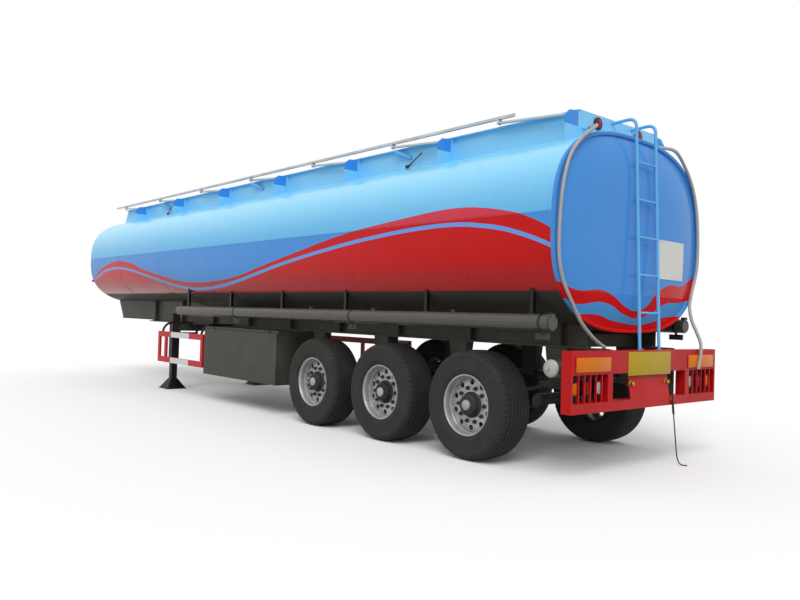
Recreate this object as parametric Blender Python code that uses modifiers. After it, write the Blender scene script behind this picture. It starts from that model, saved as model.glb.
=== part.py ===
"""Tanker semi-trailer: a three-axle road tank standing on its landing legs.

Metres, +Z up, +X forward, +Y left.  The origin is on the ground, on the centre line, half way along.
A station is a distance forward of the rearmost face, and at() turns it into an x.
"""
import math

import bmesh
import bpy
from mathutils import Matrix, Vector

# Overall
LENGTH = 12.10
GAP = 0.0003
PIN_GAP = 0.0005
LAP = 0.003
WELD = 0.00001
FLAT_ANGLE = 0.0001
GROUND_Z = 0.0

# Tank shell
SHELL_HALF_WIDTH = 1.255
SHELL_TOP_Z = 3.176
SHELL_BELLY_Z = 1.294
FRONT_BELLY_Z = 1.470
SECTION_POWER = 2.7
SECTION_POINTS = 44
REAR_RIM = 0.227
REAR_DISH = 0.078
RIM_RECESS = 0.018
RIM_SHARE = 0.940
FRONT_DISH = 0.270
RIM_BAND = 0.050
RIM_PROUD = 0.012
BELLY_STEP_START = 7.177
BELLY_STEP_END = 8.477

# Manholes
MANHOLE_COUNT = 5
MANHOLE_FIRST = 1.60
MANHOLE_PITCH = 2.20
COLLAR_RADIUS = 0.250
COLLAR_HEIGHT = 0.045
LID_RADIUS = 0.275
LID_THICKNESS = 0.022
LID_HINGE_OUT = 0.310
LID_HINGE_RADIUS = 0.012
LID_HINGE_LENGTH = 0.110
LID_SIDES = 18

# Spill dam along the top
DAM_HALF_WIDTH = 0.620
DAM_PLATE = 0.010
DAM_TOP_Z = 3.370
DAM_REAR = 0.422
DAM_FRONT = 11.600
DAM_FRONT_LEAN = 0.200
DAM_FLANGE = 0.045
DRAIN_STUB_RADIUS = 0.020
DRAIN_STUB_Y = 0.640
DRAIN_STUB_Z = 3.170
DRAIN_STUB_LENGTH = 0.060

# Folding handrails
POST_COUNT = 7
POST_PITCH = 1.689
POST_PLANE_Y = 0.700
POST_PIVOT_AHEAD = 0.040
POST_PIVOT_Z = 3.330
POST_REACH = 0.920
RAIL_JOINT_Z = 3.397
RAIL_Z = 3.445
RAIL_RADIUS = 0.021
POST_RADIUS = 0.016
EYE_RADIUS = 0.022
EYE_WIDTH = 0.034
PIN_RADIUS = 0.009
EAR_THICKNESS = 0.007
RAIL_REAR_OVERHANG = 0.200
RAIL_FRONT_OVERHANG = 0.500
BRACKET_PLATE = 0.012
BRACKET_OUT_Y = 0.870

# Ladder
LADDER_LEFT_Y = 0.122
LADDER_RIGHT_Y = -0.222
LADDER_TUBE = 0.016
RUNG_TUBE = 0.011
RUNG_FIRST_Z = 1.479
RUNG_PITCH = 0.360
RUNG_COUNT = 5
LADDER_FOOT_STATION = 0.062
LADDER_TOP_STATION = 0.150
LADDER_BEND_Z = 3.300
HOOP_TOP_Z = 3.430

# Rear bumper
REFLECTOR_PROUD = 0.006
BUMPER_DEPTH = 0.110
BUMPER_HALF_WIDTH = 1.250
BUMPER_BOTTOM_Z = 0.592
BUMPER_TOP_Z = 1.128
BUMPER_BAR_TOP_Z = 0.680
BUMPER_HEADER_Z = 0.924
BUMPER_SIDE = 0.022
LAMP_BAY_INNER_Y = 0.710
BAY_POST_INNER_Y = 0.635
GRILLE_BARS = 5
GRILLE_BAR = 0.012
GRILLE_BAR_DEPTH = 0.020
LICENCE_HALF_WIDTH = 0.340
LICENCE_PLATE = 0.010
LICENCE_LEAN = 0.040
REFLECTOR_INNER_Y = 0.676
REFLECTOR_OUTER_Y = 1.200
REFLECTOR_BOTTOM_Z = 0.942
REFLECTOR_TOP_Z = 1.080
LAMP_RADIUS = 0.062
LAMP_COUNT = 3
LAMP_RECESS = 0.045
LAMP_BACK_PLATE = 0.008

# Chassis
RAIL_LINE_Y = 0.600
FRAME_BOTTOM_Z = 1.130
FLANGE_THICKNESS = 0.016
FLANGE_WIDTH = 0.140
WEB_THICKNESS = 0.012
FRAME_REAR = 0.320
FRAME_FRONT = 10.200
CROSS_DEPTH = 0.130
CROSS_THICKNESS = 0.060
CROSS_COUNT = 9
RIB_OUT = 0.070
SUPPORT_REACH = 0.360
RESERVOIR_RADIUS = 0.080
RESERVOIR_STATION = 0.415
RESERVOIR_Z = 0.949
RESERVOIR_END_Y = 1.000

# Running gear
AXLE_COUNT = 3
REAR_AXLE = 1.277
AXLE_PITCH = 1.310
TRACK_Y = 1.026
TYRE_RADIUS = 0.536
TYRE_HALF_WIDTH = 0.190
BEAD_RADIUS = 0.2858
RIM_LIP_RADIUS = 0.2985
RIM_HALF_WIDTH = 0.170
RIM_FLANGE = 0.013
WHEEL_SIDES = 24
RIM_SIDES = WHEEL_SIDES
PIN_SIDES = 6
EYE_SIDES = 8
SPINDLE_RADIUS = 0.045
AXLE_TUBE_RADIUS = 0.064
DRUM_RADIUS = 0.205
BACKING_RADIUS = 0.200
SPRING_Y = 0.600
SPRING_HALF_LENGTH = 0.500
SPRING_SAG = 0.060
LEAF_THICKNESS = 0.013
LEAF_COUNT = 5
LEAF_STEP = 0.17
LEAF_WIDTH = 0.090
SPRING_BOTTOM_Z = 0.640
HANGER_TOP_LENGTH = 0.260
HANGER_FOOT_LENGTH = 0.150
HANGER_WIDTH = 0.110
ROCKER_REACH = 0.220
ROCKER_STUB = 0.060

# Landing legs
LEG_STATION = 8.677
LEG_Y = 0.846
LEG_OUTER = 0.130
LEG_INNER = 0.100
LEG_TOP_Z = 1.300
LEG_SLEEVE_Z = 0.520
FOOT_HEIGHT = 0.170
FOOT_PLATE = 0.350
FOOT_PLATE_THICKNESS = 0.014
LEG_BEAM_DEPTH = 0.130
LEG_BEAM_LENGTH = 0.120
LEG_PAD = 0.012

# Cabinet on the left
CABINET_REAR = 4.747
CABINET_FRONT = 6.817
CABINET_OUTER_Y = 1.200
CABINET_INNER_Y = 0.500
CABINET_BOTTOM_Z = 0.410
CABINET_WALL = 0.004
CABINET_FRAME = 0.030
DOOR_THICKNESS = 0.020
DOOR_GAP = 0.005
DOOR_PIN_RADIUS = 0.008

# Side guards
GUARD_REAR_LEFT = 6.877
GUARD_REAR_RIGHT = 4.747
GUARD_FRONT = 8.527
GUARD_OUTER_Y = 1.200
GUARD_THICKNESS = 0.030
GUARD_BOTTOM_Z = 0.490
GUARD_TOP_Z = 1.000
GUARD_RAIL = 0.090
GUARD_POST = 0.075
GUARD_SLOT = 0.330
GUARD_ARM = 0.040
GUARD_ARM_INNER_Y = 0.630

# Hose tubes
TUBE_Y = 1.150
TUBE_Z = 1.360
TUBE_RADIUS = 0.075
TUBE_WALL = 0.005
TUBE_REAR = 0.300
TUBE_FRONT = 7.827
TUBE_SIDES = 16
TUBE_BRACKETS = 6
CAP_THICKNESS = 0.012
CAP_PIN_RADIUS = 0.007
CAP_INSET = 0.008

# Coupler
COUPLER_REAR = FRAME_FRONT + GAP
COUPLER_PLATE_FRONT = 11.700
COUPLER_FRONT = 12.000
COUPLER_PLATE_Z = 1.160
COUPLER_PLATE = 0.012
COUPLER_HALF_WIDTH = 0.620
COUPLER_NOSE_Z = 1.600
KINGPIN_STATION = 10.777
KINGPIN_RADIUS = 0.0254
KINGPIN_COLLAR = 0.0365
KINGPIN_LENGTH = 0.084

# Hoses and strap
DRAIN_HOSE_RADIUS = 0.017
STRAP_RADIUS = 0.006
STRAP_Y = -0.375
STRAP_CLIP_STATION = 0.070
STRAP_BEND_STATION = 0.025
STRAP_BEND = 0.033
STRAP_CREST = 0.021

# Colours, roughness and metallic of each finish
FINISHES = {
    "shell_paint": ((0.13, 0.45, 0.85), 0.28, 0.0),
    "frame_paint": ((0.07, 0.07, 0.06), 0.55, 0.0),
    "red_paint": ((0.60, 0.02, 0.03), 0.40, 0.0),
    "tyre_rubber": ((0.02, 0.02, 0.02), 0.85, 0.0),
    "rim_silver": ((0.62, 0.63, 0.64), 0.38, 0.8),
    "rail_steel": ((0.70, 0.71, 0.72), 0.30, 0.9),
    "hose_rubber": ((0.35, 0.36, 0.37), 0.70, 0.0),
    "black_steel": ((0.03, 0.03, 0.03), 0.50, 0.2),
}

SIDES = (("left", 1), ("right", -1))


def at(station):
    """The x of a station."""
    return station - LENGTH / 2


def clear_radius(radius, gap, sides):
    """A polygon's corner radius whose flats still clear a round pin."""
    return (radius + gap) / math.cos(math.pi / sides)


# Scene and collections

for leftover in list(bpy.data.objects):
    bpy.data.objects.remove(leftover, do_unlink=True)

PART = bpy.data.collections.new("tanker_trailer")
CUTTERS = bpy.data.collections.new("cutters")
bpy.context.scene.collection.children.link(PART)
bpy.context.scene.collection.children.link(CUTTERS)


def finish(name):
    """The Principled material of a named finish."""
    known = bpy.data.materials.get(name)
    if known:
        return known
    colour, roughness, metallic = FINISHES[name]
    made = bpy.data.materials.new(name)
    made.use_nodes = True
    shader = made.node_tree.nodes["Principled BSDF"]
    shader.inputs["Base Color"].default_value = (*colour, 1.0)
    shader.inputs["Roughness"].default_value = roughness
    shader.inputs["Metallic"].default_value = metallic
    return made


# Shapes, each a loose object in world coordinates

def loose(name, mesh):
    """A working object that a later step fuses, cuts or keeps."""
    piece = bpy.data.objects.new(name, mesh)
    CUTTERS.objects.link(piece)
    piece.hide_render = True
    piece.display_type = "WIRE"
    return piece


def from_bmesh(name, work):
    """A working object from a bmesh, with its faces turned outwards."""
    bmesh.ops.recalc_face_normals(work, faces=work.faces)
    mesh = bpy.data.meshes.new(name)
    work.to_mesh(mesh)
    work.free()
    return loose(name, mesh)


def box(x0, x1, y0, y1, z0, z1):
    """An upright box between two corners."""
    work = bmesh.new()
    bmesh.ops.create_cube(work, size=1.0)
    low = Vector((min(x0, x1), min(y0, y1), min(z0, z1)))
    high = Vector((max(x0, x1), max(y0, y1), max(z0, z1)))
    bmesh.ops.transform(
        work, verts=work.verts,
        matrix=Matrix.Translation((low + high) / 2) @ Matrix.Diagonal((*(high - low), 1.0)))
    return from_bmesh("box", work)


def rod(start, end, radius, sides=PIN_SIDES, end_radius=None):
    """A round bar, or a cone, from one point to another."""
    start = Vector(start)
    end = Vector(end)
    along = end - start
    work = bmesh.new()
    bmesh.ops.create_cone(
        work, cap_ends=True, segments=sides, radius1=radius,
        radius2=radius if end_radius is None else end_radius, depth=along.length)
    turn = along.to_track_quat("Z", "Y").to_matrix().to_4x4()
    bmesh.ops.transform(
        work, verts=work.verts, matrix=Matrix.Translation((start + end) / 2) @ turn)
    return from_bmesh("rod", work)


def plate(outline, axis, low, high):
    """A flat outline swept along an axis; its points are given in the other two axes' order."""
    order = {"x": lambda a, b: (low, a, b), "y": lambda a, b: (a, low, b), "z": lambda a, b: (a, b, low)}
    step = {"x": Vector((1, 0, 0)), "y": Vector((0, 1, 0)), "z": Vector((0, 0, 1))}[axis]
    work = bmesh.new()
    face = work.faces.new([work.verts.new(order[axis](a, b)) for a, b in outline])
    grown = bmesh.ops.extrude_face_region(work, geom=[face])
    moved = [item for item in grown["geom"] if isinstance(item, bmesh.types.BMVert)]
    bmesh.ops.translate(work, verts=moved, vec=step * (high - low))
    return from_bmesh("plate", work)


def turned(profile, centre, axis, sides):
    """A profile of (along, radius) points turned about an axis, with the Screw modifier."""
    mesh = bpy.data.meshes.new("turned")
    points = [(radius, 0.0, along) for along, radius in profile]
    edges = [(index, index + 1) for index in range(len(points) - 1)]
    if profile[0][1] > 0 or profile[-1][1] > 0:
        edges.append((len(points) - 1, 0))
    mesh.from_pydata(points, edges, [])
    piece = loose("turned", mesh)
    screw = piece.modifiers.new("turn", "SCREW")
    screw.angle = 2 * math.pi
    screw.steps = sides
    screw.render_steps = sides
    screw.use_merge_vertices = True
    screw.merge_threshold = 0.00001
    turn = Vector(axis).to_track_quat("Z", "Y").to_matrix().to_4x4()
    piece.matrix_world = Matrix.Translation(centre) @ turn
    return outward(baked(piece))


def bent_tube(points, radius, sides_level=2, smooth=False):
    """A round tube along points, as a bevelled curve made a mesh with its caps welded."""
    curve = bpy.data.curves.new("tube", "CURVE")
    curve.dimensions = "3D"
    curve.bevel_depth = radius
    curve.bevel_resolution = sides_level
    curve.use_fill_caps = True
    route = smooth_route(points) if smooth else points
    line = curve.splines.new("POLY")
    line.points.add(len(route) - 1)
    for knot, place in zip(line.points, route):
        knot.co = (*place, 1.0)
    guide = bpy.data.objects.new("tube", curve)
    CUTTERS.objects.link(guide)
    bpy.context.view_layer.update()
    mesh = bpy.data.meshes.new_from_object(guide.evaluated_get(bpy.context.evaluated_depsgraph_get()))
    bpy.data.objects.remove(guide, do_unlink=True)
    work = bmesh.new()
    work.from_mesh(mesh)
    bmesh.ops.remove_doubles(work, verts=work.verts, dist=0.00001)
    return from_bmesh("tube", work)


def smooth_route(points, steps=2):
    """A Catmull-Rom curve read through the route's own points."""
    knots = [Vector(point) for point in points]
    padded = [knots[0] * 2 - knots[1]] + knots + [knots[-1] * 2 - knots[-2]]
    route = []
    for index in range(1, len(padded) - 2):
        before, here, there, after = padded[index - 1:index + 3]
        for step in range(steps):
            t = step / steps
            route.append(
                0.5 * ((2 * here) + (there - before) * t
                       + (2 * before - 5 * here + 4 * there - after) * t ** 2
                       + (3 * here - before - 3 * there + after) * t ** 3))
    route.append(knots[-1])
    return route


# Joining, cutting and keeping

def baked(piece):
    """The piece with its modifiers applied and its place in its mesh."""
    bpy.context.view_layer.update()
    graph = bpy.context.evaluated_depsgraph_get()
    mesh = bpy.data.meshes.new_from_object(piece.evaluated_get(graph))
    mesh.transform(piece.matrix_world)
    bpy.data.objects.remove(piece, do_unlink=True)
    return loose("baked", mesh)


def outward(piece):
    """The piece with its faces turned outwards."""
    work = bmesh.new()
    work.from_mesh(piece.data)
    bmesh.ops.recalc_face_normals(work, faces=work.faces)
    work.to_mesh(piece.data)
    work.free()
    return piece


def close_cracks(work):
    """Take each corner that lies along a neighbour's edge into that neighbour."""
    cracks = [edge for edge in work.edges if len(edge.link_faces) == 1]
    filled = bmesh.ops.holes_fill(work, edges=cracks, sides=3)["faces"]
    longest = [max(face.edges, key=lambda edge: edge.calc_length()) for face in filled]
    bmesh.ops.dissolve_edges(work, edges=list(set(longest)), use_verts=False)


def boolean(piece, tool, operation):
    """The piece after one Boolean with a tool, its slivers and flat splits dissolved."""
    step = piece.modifiers.new(operation.lower(), "BOOLEAN")
    step.operation = operation
    step.solver = "EXACT"
    step.object = tool
    piece = baked(piece)
    work = bmesh.new()
    work.from_mesh(piece.data)
    bmesh.ops.remove_doubles(work, verts=work.verts, dist=WELD)
    close_cracks(work)
    bmesh.ops.dissolve_limit(work, angle_limit=FLAT_ANGLE, verts=work.verts, edges=work.edges)
    work.to_mesh(piece.data)
    work.free()
    return piece


def fuse(pieces):
    """One body from pieces that overlap."""
    body = pieces[0]
    for other in pieces[1:]:
        body = boolean(body, other, "UNION")
        bpy.data.objects.remove(other, do_unlink=True)
    return body


def cut(piece, tools):
    """The piece less its tools."""
    for tool in tools:
        piece = boolean(piece, tool, "DIFFERENCE")
        bpy.data.objects.remove(tool, do_unlink=True)
    return piece


def clear_of_shell(piece):
    """The piece cut back to a seat on the tank shell."""
    return boolean(piece, SHELL_CUTTER, "DIFFERENCE")


def keep(piece, name, finish_name, origin=(0, 0, 0)):
    """The finished sub-part, with its origin on its joint's axis."""
    piece.name = name
    piece.data.name = name
    piece.data.transform(Matrix.Translation(-Vector(origin)))
    piece.location = origin
    CUTTERS.objects.unlink(piece)
    PART.objects.link(piece)
    piece.hide_render = False
    piece.display_type = "TEXTURED"
    piece.data.materials.clear()
    piece.data.materials.append(finish(finish_name))
    piece.data.shade_smooth()
    piece.data.set_sharp_from_angle(angle=math.radians(30))
    return piece


# Tank shell

def belly_z(station):
    """The shell's lowest point at a station: deep behind, stepped up over the coupler."""
    share = (station - BELLY_STEP_START) / (BELLY_STEP_END - BELLY_STEP_START)
    share = min(1.0, max(0.0, share))
    return SHELL_BELLY_Z + (FRONT_BELLY_Z - SHELL_BELLY_Z) * share


def shell_section(station, scale=1.0, margin=0.0):
    """A rounded-square section: one superellipse, as (y, z) points."""
    bottom = belly_z(station)
    half_height = (SHELL_TOP_Z - bottom) / 2
    middle = bottom + half_height
    points = []
    for index in range(SECTION_POINTS):
        angle = 2 * math.pi * index / SECTION_POINTS
        across = math.cos(angle)
        up = math.sin(angle)
        y = math.copysign(abs(across) ** (2 / SECTION_POWER), across)
        z = math.copysign(abs(up) ** (2 / SECTION_POWER), up)
        points.append((y * (SHELL_HALF_WIDTH * scale + margin), middle + z * (half_height * scale + margin)))
    return points


def shell_stations():
    """Rows of (station, share of the full section, extra margin) from tail to nose."""
    front_rim = LENGTH - FRONT_DISH
    rear_dish = ((0.00, 0.35), (0.17, 0.62), (0.45, 0.82), (1.00, RIM_SHARE))
    rows = [(REAR_RIM + RIM_RECESS - REAR_DISH * (1 - depth), share, 0.0) for depth, share in rear_dish]
    rows += [(REAR_RIM, RIM_SHARE, 0.0), (REAR_RIM, 1.0, RIM_PROUD), (REAR_RIM + RIM_BAND, 1.0, RIM_PROUD),
             (REAR_RIM + RIM_BAND, 1.0, 0.0)]
    rows += [(BELLY_STEP_START, 1.0, 0.0), (BELLY_STEP_END, 1.0, 0.0), (front_rim, 1.0, 0.0)]
    nose = ((0.25, 0.985), (0.50, 0.930), (0.75, 0.800), (0.92, 0.600), (1.00, 0.300))
    rows += [(front_rim + FRONT_DISH * depth, share, 0.0) for depth, share in nose]
    return rows


def shell_body(margin=0.0):
    """The closed loft of the shell, grown by a margin for use as a cutter."""
    work = bmesh.new()
    rings = []
    for row, (station, scale, extra) in enumerate(shell_stations()):
        push = 0.0
        if row == 0:
            push = -margin
        if row == len(shell_stations()) - 1:
            push = margin
        points = shell_section(station, scale, extra + margin)
        rings.append([work.verts.new((at(station) + push, y, z)) for y, z in points])
    for near, far in zip(rings, rings[1:]):
        for index in range(SECTION_POINTS):
            after = (index + 1) % SECTION_POINTS
            work.faces.new((near[index], near[after], far[after], far[index]))
    work.faces.new(rings[0])
    work.faces.new(list(reversed(rings[-1])))
    bmesh.ops.triangulate(work, faces=work.faces)
    return from_bmesh("shell", work)


def manhole_stations():
    """The stations of the manholes' centres."""
    return [MANHOLE_FIRST + MANHOLE_PITCH * index for index in range(MANHOLE_COUNT)]


LID_HINGE_Z = SHELL_TOP_Z + COLLAR_HEIGHT + LID_THICKNESS / 2


def make_tank():
    """The shell with a collar and two hinge ears for each manhole."""
    pieces = [shell_body()]
    for station in manhole_stations():
        top = SHELL_TOP_Z + COLLAR_HEIGHT
        pieces.append(rod((at(station), 0, SHELL_TOP_Z - 0.05), (at(station), 0, top), COLLAR_RADIUS, LID_SIDES))
        hinge = at(station - LID_HINGE_OUT)
        for side in (-1, 1):
            inner = side * (LID_HINGE_LENGTH / 2 + 0.001)
            outer = side * (LID_HINGE_LENGTH / 2 + 0.013)
            pieces.append(box(hinge - 0.018, hinge + 0.018, inner, outer,
                              SHELL_TOP_Z - 0.02, LID_HINGE_Z + 0.018))
        pieces.append(rod((hinge, -LID_HINGE_LENGTH / 2 - 0.005, LID_HINGE_Z),
                          (hinge, LID_HINGE_LENGTH / 2 + 0.005, LID_HINGE_Z), LID_HINGE_RADIUS / 2))
    keep(fuse(pieces), "tank_shell", "shell_paint")


def make_lids():
    """A domed lid for each manhole, hinged at its rear edge."""
    for number, station in enumerate(manhole_stations(), 1):
        base = SHELL_TOP_Z + COLLAR_HEIGHT + GAP
        profile = ((0, 0), (0, LID_RADIUS), (LID_THICKNESS, LID_RADIUS), (LID_THICKNESS + 0.014, 0))
        lid = turned(profile, (at(station), 0, base), (0, 0, 1), LID_SIDES)
        hinge = at(station - LID_HINGE_OUT)
        arm = box(hinge, at(station - LID_RADIUS) + 0.03, -LID_HINGE_LENGTH / 2, LID_HINGE_LENGTH / 2,
                  LID_HINGE_Z - 0.008, LID_HINGE_Z + 0.008)
        knuckle = rod((hinge, -LID_HINGE_LENGTH / 2, LID_HINGE_Z), (hinge, LID_HINGE_LENGTH / 2, LID_HINGE_Z),
                      LID_HINGE_RADIUS, EYE_SIDES)
        bore = rod((hinge, -LID_HINGE_LENGTH, LID_HINGE_Z), (hinge, LID_HINGE_LENGTH, LID_HINGE_Z),
                   clear_radius(LID_HINGE_RADIUS / 2, PIN_GAP, PIN_SIDES))
        lid = cut(fuse([lid, arm, knuckle]), [bore])
        keep(lid, f"manhole_lid_{number}", "shell_paint", (hinge, 0, LID_HINGE_Z))


# Spill dam and handrails

def post_stations():
    """The stations of the handrail brackets, from the tail."""
    return [DAM_REAR + POST_PITCH * index for index in range(POST_COUNT)]


def bracket(station, side):
    """A quarter plate across the shoulder, with two ears and a pin for the post ahead of it."""
    x = at(station)
    outline = ((side * (DAM_HALF_WIDTH - DAM_PLATE / 2), DAM_TOP_Z - 0.01),
               (side * 0.80, DAM_TOP_Z - 0.03), (side * BRACKET_OUT_Y, DAM_TOP_Z - 0.09),
               (side * (BRACKET_OUT_Y - 0.02), SHELL_TOP_Z - 0.20),
               (side * (DAM_HALF_WIDTH - DAM_PLATE / 2), SHELL_TOP_Z - 0.10))
    pieces = [plate(outline, "x", x + LAP, x + LAP + BRACKET_PLATE)]
    pivot = x + POST_PIVOT_AHEAD
    half = EYE_WIDTH / 2
    for edge in (-1, 1):
        inner = side * POST_PLANE_Y + edge * (half + PIN_GAP)
        outer = side * POST_PLANE_Y + edge * (half + PIN_GAP + EAR_THICKNESS)
        pieces.append(box(x + 2 * LAP, pivot + 0.016, inner, outer, POST_PIVOT_Z - 0.016, POST_PIVOT_Z + 0.016))
    reach = half + PIN_GAP + EAR_THICKNESS / 2
    pieces.append(rod((pivot, side * POST_PLANE_Y - reach, POST_PIVOT_Z),
                      (pivot, side * POST_PLANE_Y + reach, POST_PIVOT_Z), PIN_RADIUS))
    return pieces


def make_dam():
    """Two long coamings with top flanges, end walls, brackets and drain stubs."""
    x0 = at(DAM_REAR)
    x1 = at(DAM_FRONT)
    low = SHELL_TOP_Z - 0.12
    pieces = []
    for _, side in SIDES:
        inner = side * (DAM_HALF_WIDTH - DAM_PLATE)
        outer = side * DAM_HALF_WIDTH
        outline = ((x0, low), (x1 + DAM_FRONT_LEAN, low), (x1, DAM_TOP_Z), (x0, DAM_TOP_Z))
        pieces.append(plate(outline, "y", inner, outer))
        pieces.append(box(x0, x1, inner, outer + side * DAM_FLANGE, DAM_TOP_Z - DAM_PLATE, DAM_TOP_Z))
    across = DAM_HALF_WIDTH - DAM_PLATE / 2
    pieces.append(box(x0, x0 + DAM_PLATE, -across, across, low, DAM_TOP_Z))
    nose = ((x1 + DAM_FRONT_LEAN - DAM_PLATE, low), (x1 + DAM_FRONT_LEAN, low), (x1, DAM_TOP_Z),
            (x1 - DAM_PLATE, DAM_TOP_Z))
    pieces.append(plate(nose, "y", -across, across))
    for _, side in SIDES:
        place = Vector((x0, side * (DRAIN_STUB_Y - 0.05), DRAIN_STUB_Z + 0.03))
        pieces.append(rod(place + Vector((0.005, 0, 0)), place - Vector((DRAIN_STUB_LENGTH, 0, 0)),
                          DRAIN_STUB_RADIUS, EYE_SIDES))
    for station in post_stations():
        for _, side in SIDES:
            pieces += bracket(station, side)
    keep(clear_of_shell(fuse(pieces)), "spill_dam", "shell_paint")


def bored_eye(x, y, z):
    """A round eye across the post line, and the bore tool for its pin."""
    half = EYE_WIDTH / 2
    eye = rod((x, y - half, z), (x, y + half, z), EYE_RADIUS, EYE_SIDES)
    bore = rod((x, y - 2 * half, z), (x, y + 2 * half, z), clear_radius(PIN_RADIUS, PIN_GAP, PIN_SIDES))
    return eye, bore


def make_handrails():
    """Seven posts a side, folded forward, and the rail that they carry."""
    for label, side in SIDES:
        y = side * POST_PLANE_Y
        for number, station in enumerate(post_stations(), 1):
            foot = Vector((at(station) + POST_PIVOT_AHEAD, y, POST_PIVOT_Z))
            head = Vector((foot.x + POST_REACH, y, RAIL_JOINT_Z))
            low_eye, low_bore = bored_eye(*foot)
            high_eye, high_bore = bored_eye(*head)
            inset = (head - foot).normalized() * 0.015
            shaft = rod(foot + inset, head - inset, POST_RADIUS)
            post = cut(fuse([shaft, low_eye, high_eye]), [low_bore, high_bore])
            keep(post, f"rail_post_{label}_{number}", "rail_steel", foot)
        make_rail(label, side)


def make_rail(label, side):
    """The long top rail with two ears and a pin at each post's head."""
    y = side * POST_PLANE_Y
    heads = [at(station) + POST_PIVOT_AHEAD + POST_REACH for station in post_stations()]
    pieces = [rod((heads[0] - RAIL_REAR_OVERHANG, y, RAIL_Z), (heads[-1] + RAIL_FRONT_OVERHANG, y, RAIL_Z),
                  RAIL_RADIUS, EYE_SIDES)]
    half = EYE_WIDTH / 2
    for x in heads:
        for edge in (-1, 1):
            inner = y + edge * (half + PIN_GAP)
            outer = y + edge * (half + PIN_GAP + EAR_THICKNESS)
            pieces.append(box(x - 0.014, x + 0.014, inner, outer, RAIL_JOINT_Z - 0.014, RAIL_Z))
        reach = half + PIN_GAP + EAR_THICKNESS / 2
        pieces.append(rod((x, y - reach, RAIL_JOINT_Z), (x, y + reach, RAIL_JOINT_Z), PIN_RADIUS))
    driver = post_stations()[POST_COUNT // 2]
    origin = (at(driver) + POST_PIVOT_AHEAD + POST_REACH, y, RAIL_JOINT_Z)
    keep(fuse(pieces), f"handrail_{label}", "rail_steel", origin)


# Ladder

def make_ladder():
    """Two rails that hoop forward over the dam's rear wall, and the rungs between them."""
    foot_z = BUMPER_TOP_Z + GAP
    foot = at(LADDER_FOOT_STATION)
    top = at(LADDER_TOP_STATION)
    wall = at(DAM_REAR) - GAP
    pieces = []
    for y in (LADDER_LEFT_Y, LADDER_RIGHT_Y):
        hoop = [(foot, y, foot_z), (foot, y, foot_z + 0.05), (top, y, LADDER_BEND_Z)]
        for step in range(1, 6):
            angle = math.radians(30 * step)
            hoop.append((top + 0.08 * (1 - math.cos(angle)), y, HOOP_TOP_Z - 0.08 + 0.08 * math.sin(angle)))
        hoop += [(wall - 0.04, y, DAM_TOP_Z - 0.04), (wall, y, DAM_TOP_Z - 0.04)]
        pieces.append(bent_tube(hoop, LADDER_TUBE, 1))
    for number in range(RUNG_COUNT):
        z = RUNG_FIRST_Z + RUNG_PITCH * number
        share = (z - foot_z) / (LADDER_BEND_Z - foot_z)
        x = foot + (top - foot) * share
        pieces.append(rod((x, LADDER_RIGHT_Y, z), (x, LADDER_LEFT_Y, z), RUNG_TUBE, 8))
    keep(fuse(pieces), "ladder", "shell_paint")


# Rear bumper and lamps

def make_bumper():
    """A red box beam with barred lamp bays, a leaning licence panel and raised reflector pads."""
    rear = at(REFLECTOR_PROUD)
    front = at(BUMPER_DEPTH)
    wide = BUMPER_HALF_WIDTH
    pieces = [box(rear, front, -wide, wide, BUMPER_BOTTOM_Z, BUMPER_BAR_TOP_Z),
              box(rear, front, -wide, wide, BUMPER_HEADER_Z, BUMPER_TOP_Z)]
    low = BUMPER_BAR_TOP_Z - 0.01
    high = BUMPER_HEADER_Z + 0.01
    for _, side in SIDES:
        pieces.append(box(rear, front, side * (wide - BUMPER_SIDE), side * wide, low, high))
        pieces.append(box(rear, front, side * BAY_POST_INNER_Y, side * LAMP_BAY_INNER_Y, low, high))
        bay = wide - BUMPER_SIDE - LAMP_BAY_INNER_Y
        for bar in range(1, GRILLE_BARS + 1):
            y = side * (LAMP_BAY_INNER_Y + bay * bar / (GRILLE_BARS + 1))
            pieces.append(box(rear + 0.002, rear + GRILLE_BAR_DEPTH, y - GRILLE_BAR / 2, y + GRILLE_BAR / 2,
                              low, high))
        pieces.append(box(at(0), rear + 0.01, side * REFLECTOR_INNER_Y, side * REFLECTOR_OUTER_Y,
                          REFLECTOR_BOTTOM_Z, REFLECTOR_TOP_Z))
    licence = ((rear, low), (rear + LICENCE_PLATE, low), (rear + LICENCE_LEAN + LICENCE_PLATE, high),
               (rear + LICENCE_LEAN, high))
    pieces.append(plate(licence, "y", -LICENCE_HALF_WIDTH, LICENCE_HALF_WIDTH))
    clip = at(STRAP_CLIP_STATION)
    pieces.append(box(clip, clip + 0.02, STRAP_Y - 0.015, STRAP_Y + 0.015, BUMPER_BAR_TOP_Z - 0.004,
                      BUMPER_BAR_TOP_Z + STRAP_CREST + 0.012))
    keep(fuse(pieces), "rear_bumper", "red_paint")


def make_lamps():
    """Three round lamps on a back plate behind each barred bay."""
    face = at(BUMPER_DEPTH) + GAP
    middle_z = (BUMPER_BAR_TOP_Z + BUMPER_HEADER_Z) / 2
    bay = BUMPER_HALF_WIDTH - BUMPER_SIDE - LAMP_BAY_INNER_Y
    for label, side in SIDES:
        pieces = [box(face, face + LAMP_BACK_PLATE, side * (LAMP_BAY_INNER_Y - 0.02),
                      side * (BUMPER_HALF_WIDTH - 0.01), BUMPER_BAR_TOP_Z - 0.02, BUMPER_HEADER_Z + 0.02)]
        for number in range(LAMP_COUNT):
            y = side * (LAMP_BAY_INNER_Y + bay * (number + 0.5) / LAMP_COUNT)
            pieces.append(rod((at(LAMP_RECESS), y, middle_z), (face + 0.002, y, middle_z), LAMP_RADIUS, 16))
        keep(fuse(pieces), f"rear_lamps_{label}", "red_paint")


# Chassis

def axle_stations():
    """The stations of the axles, from the tail."""
    return [REAR_AXLE + AXLE_PITCH * index for index in range(AXLE_COUNT)]


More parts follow.
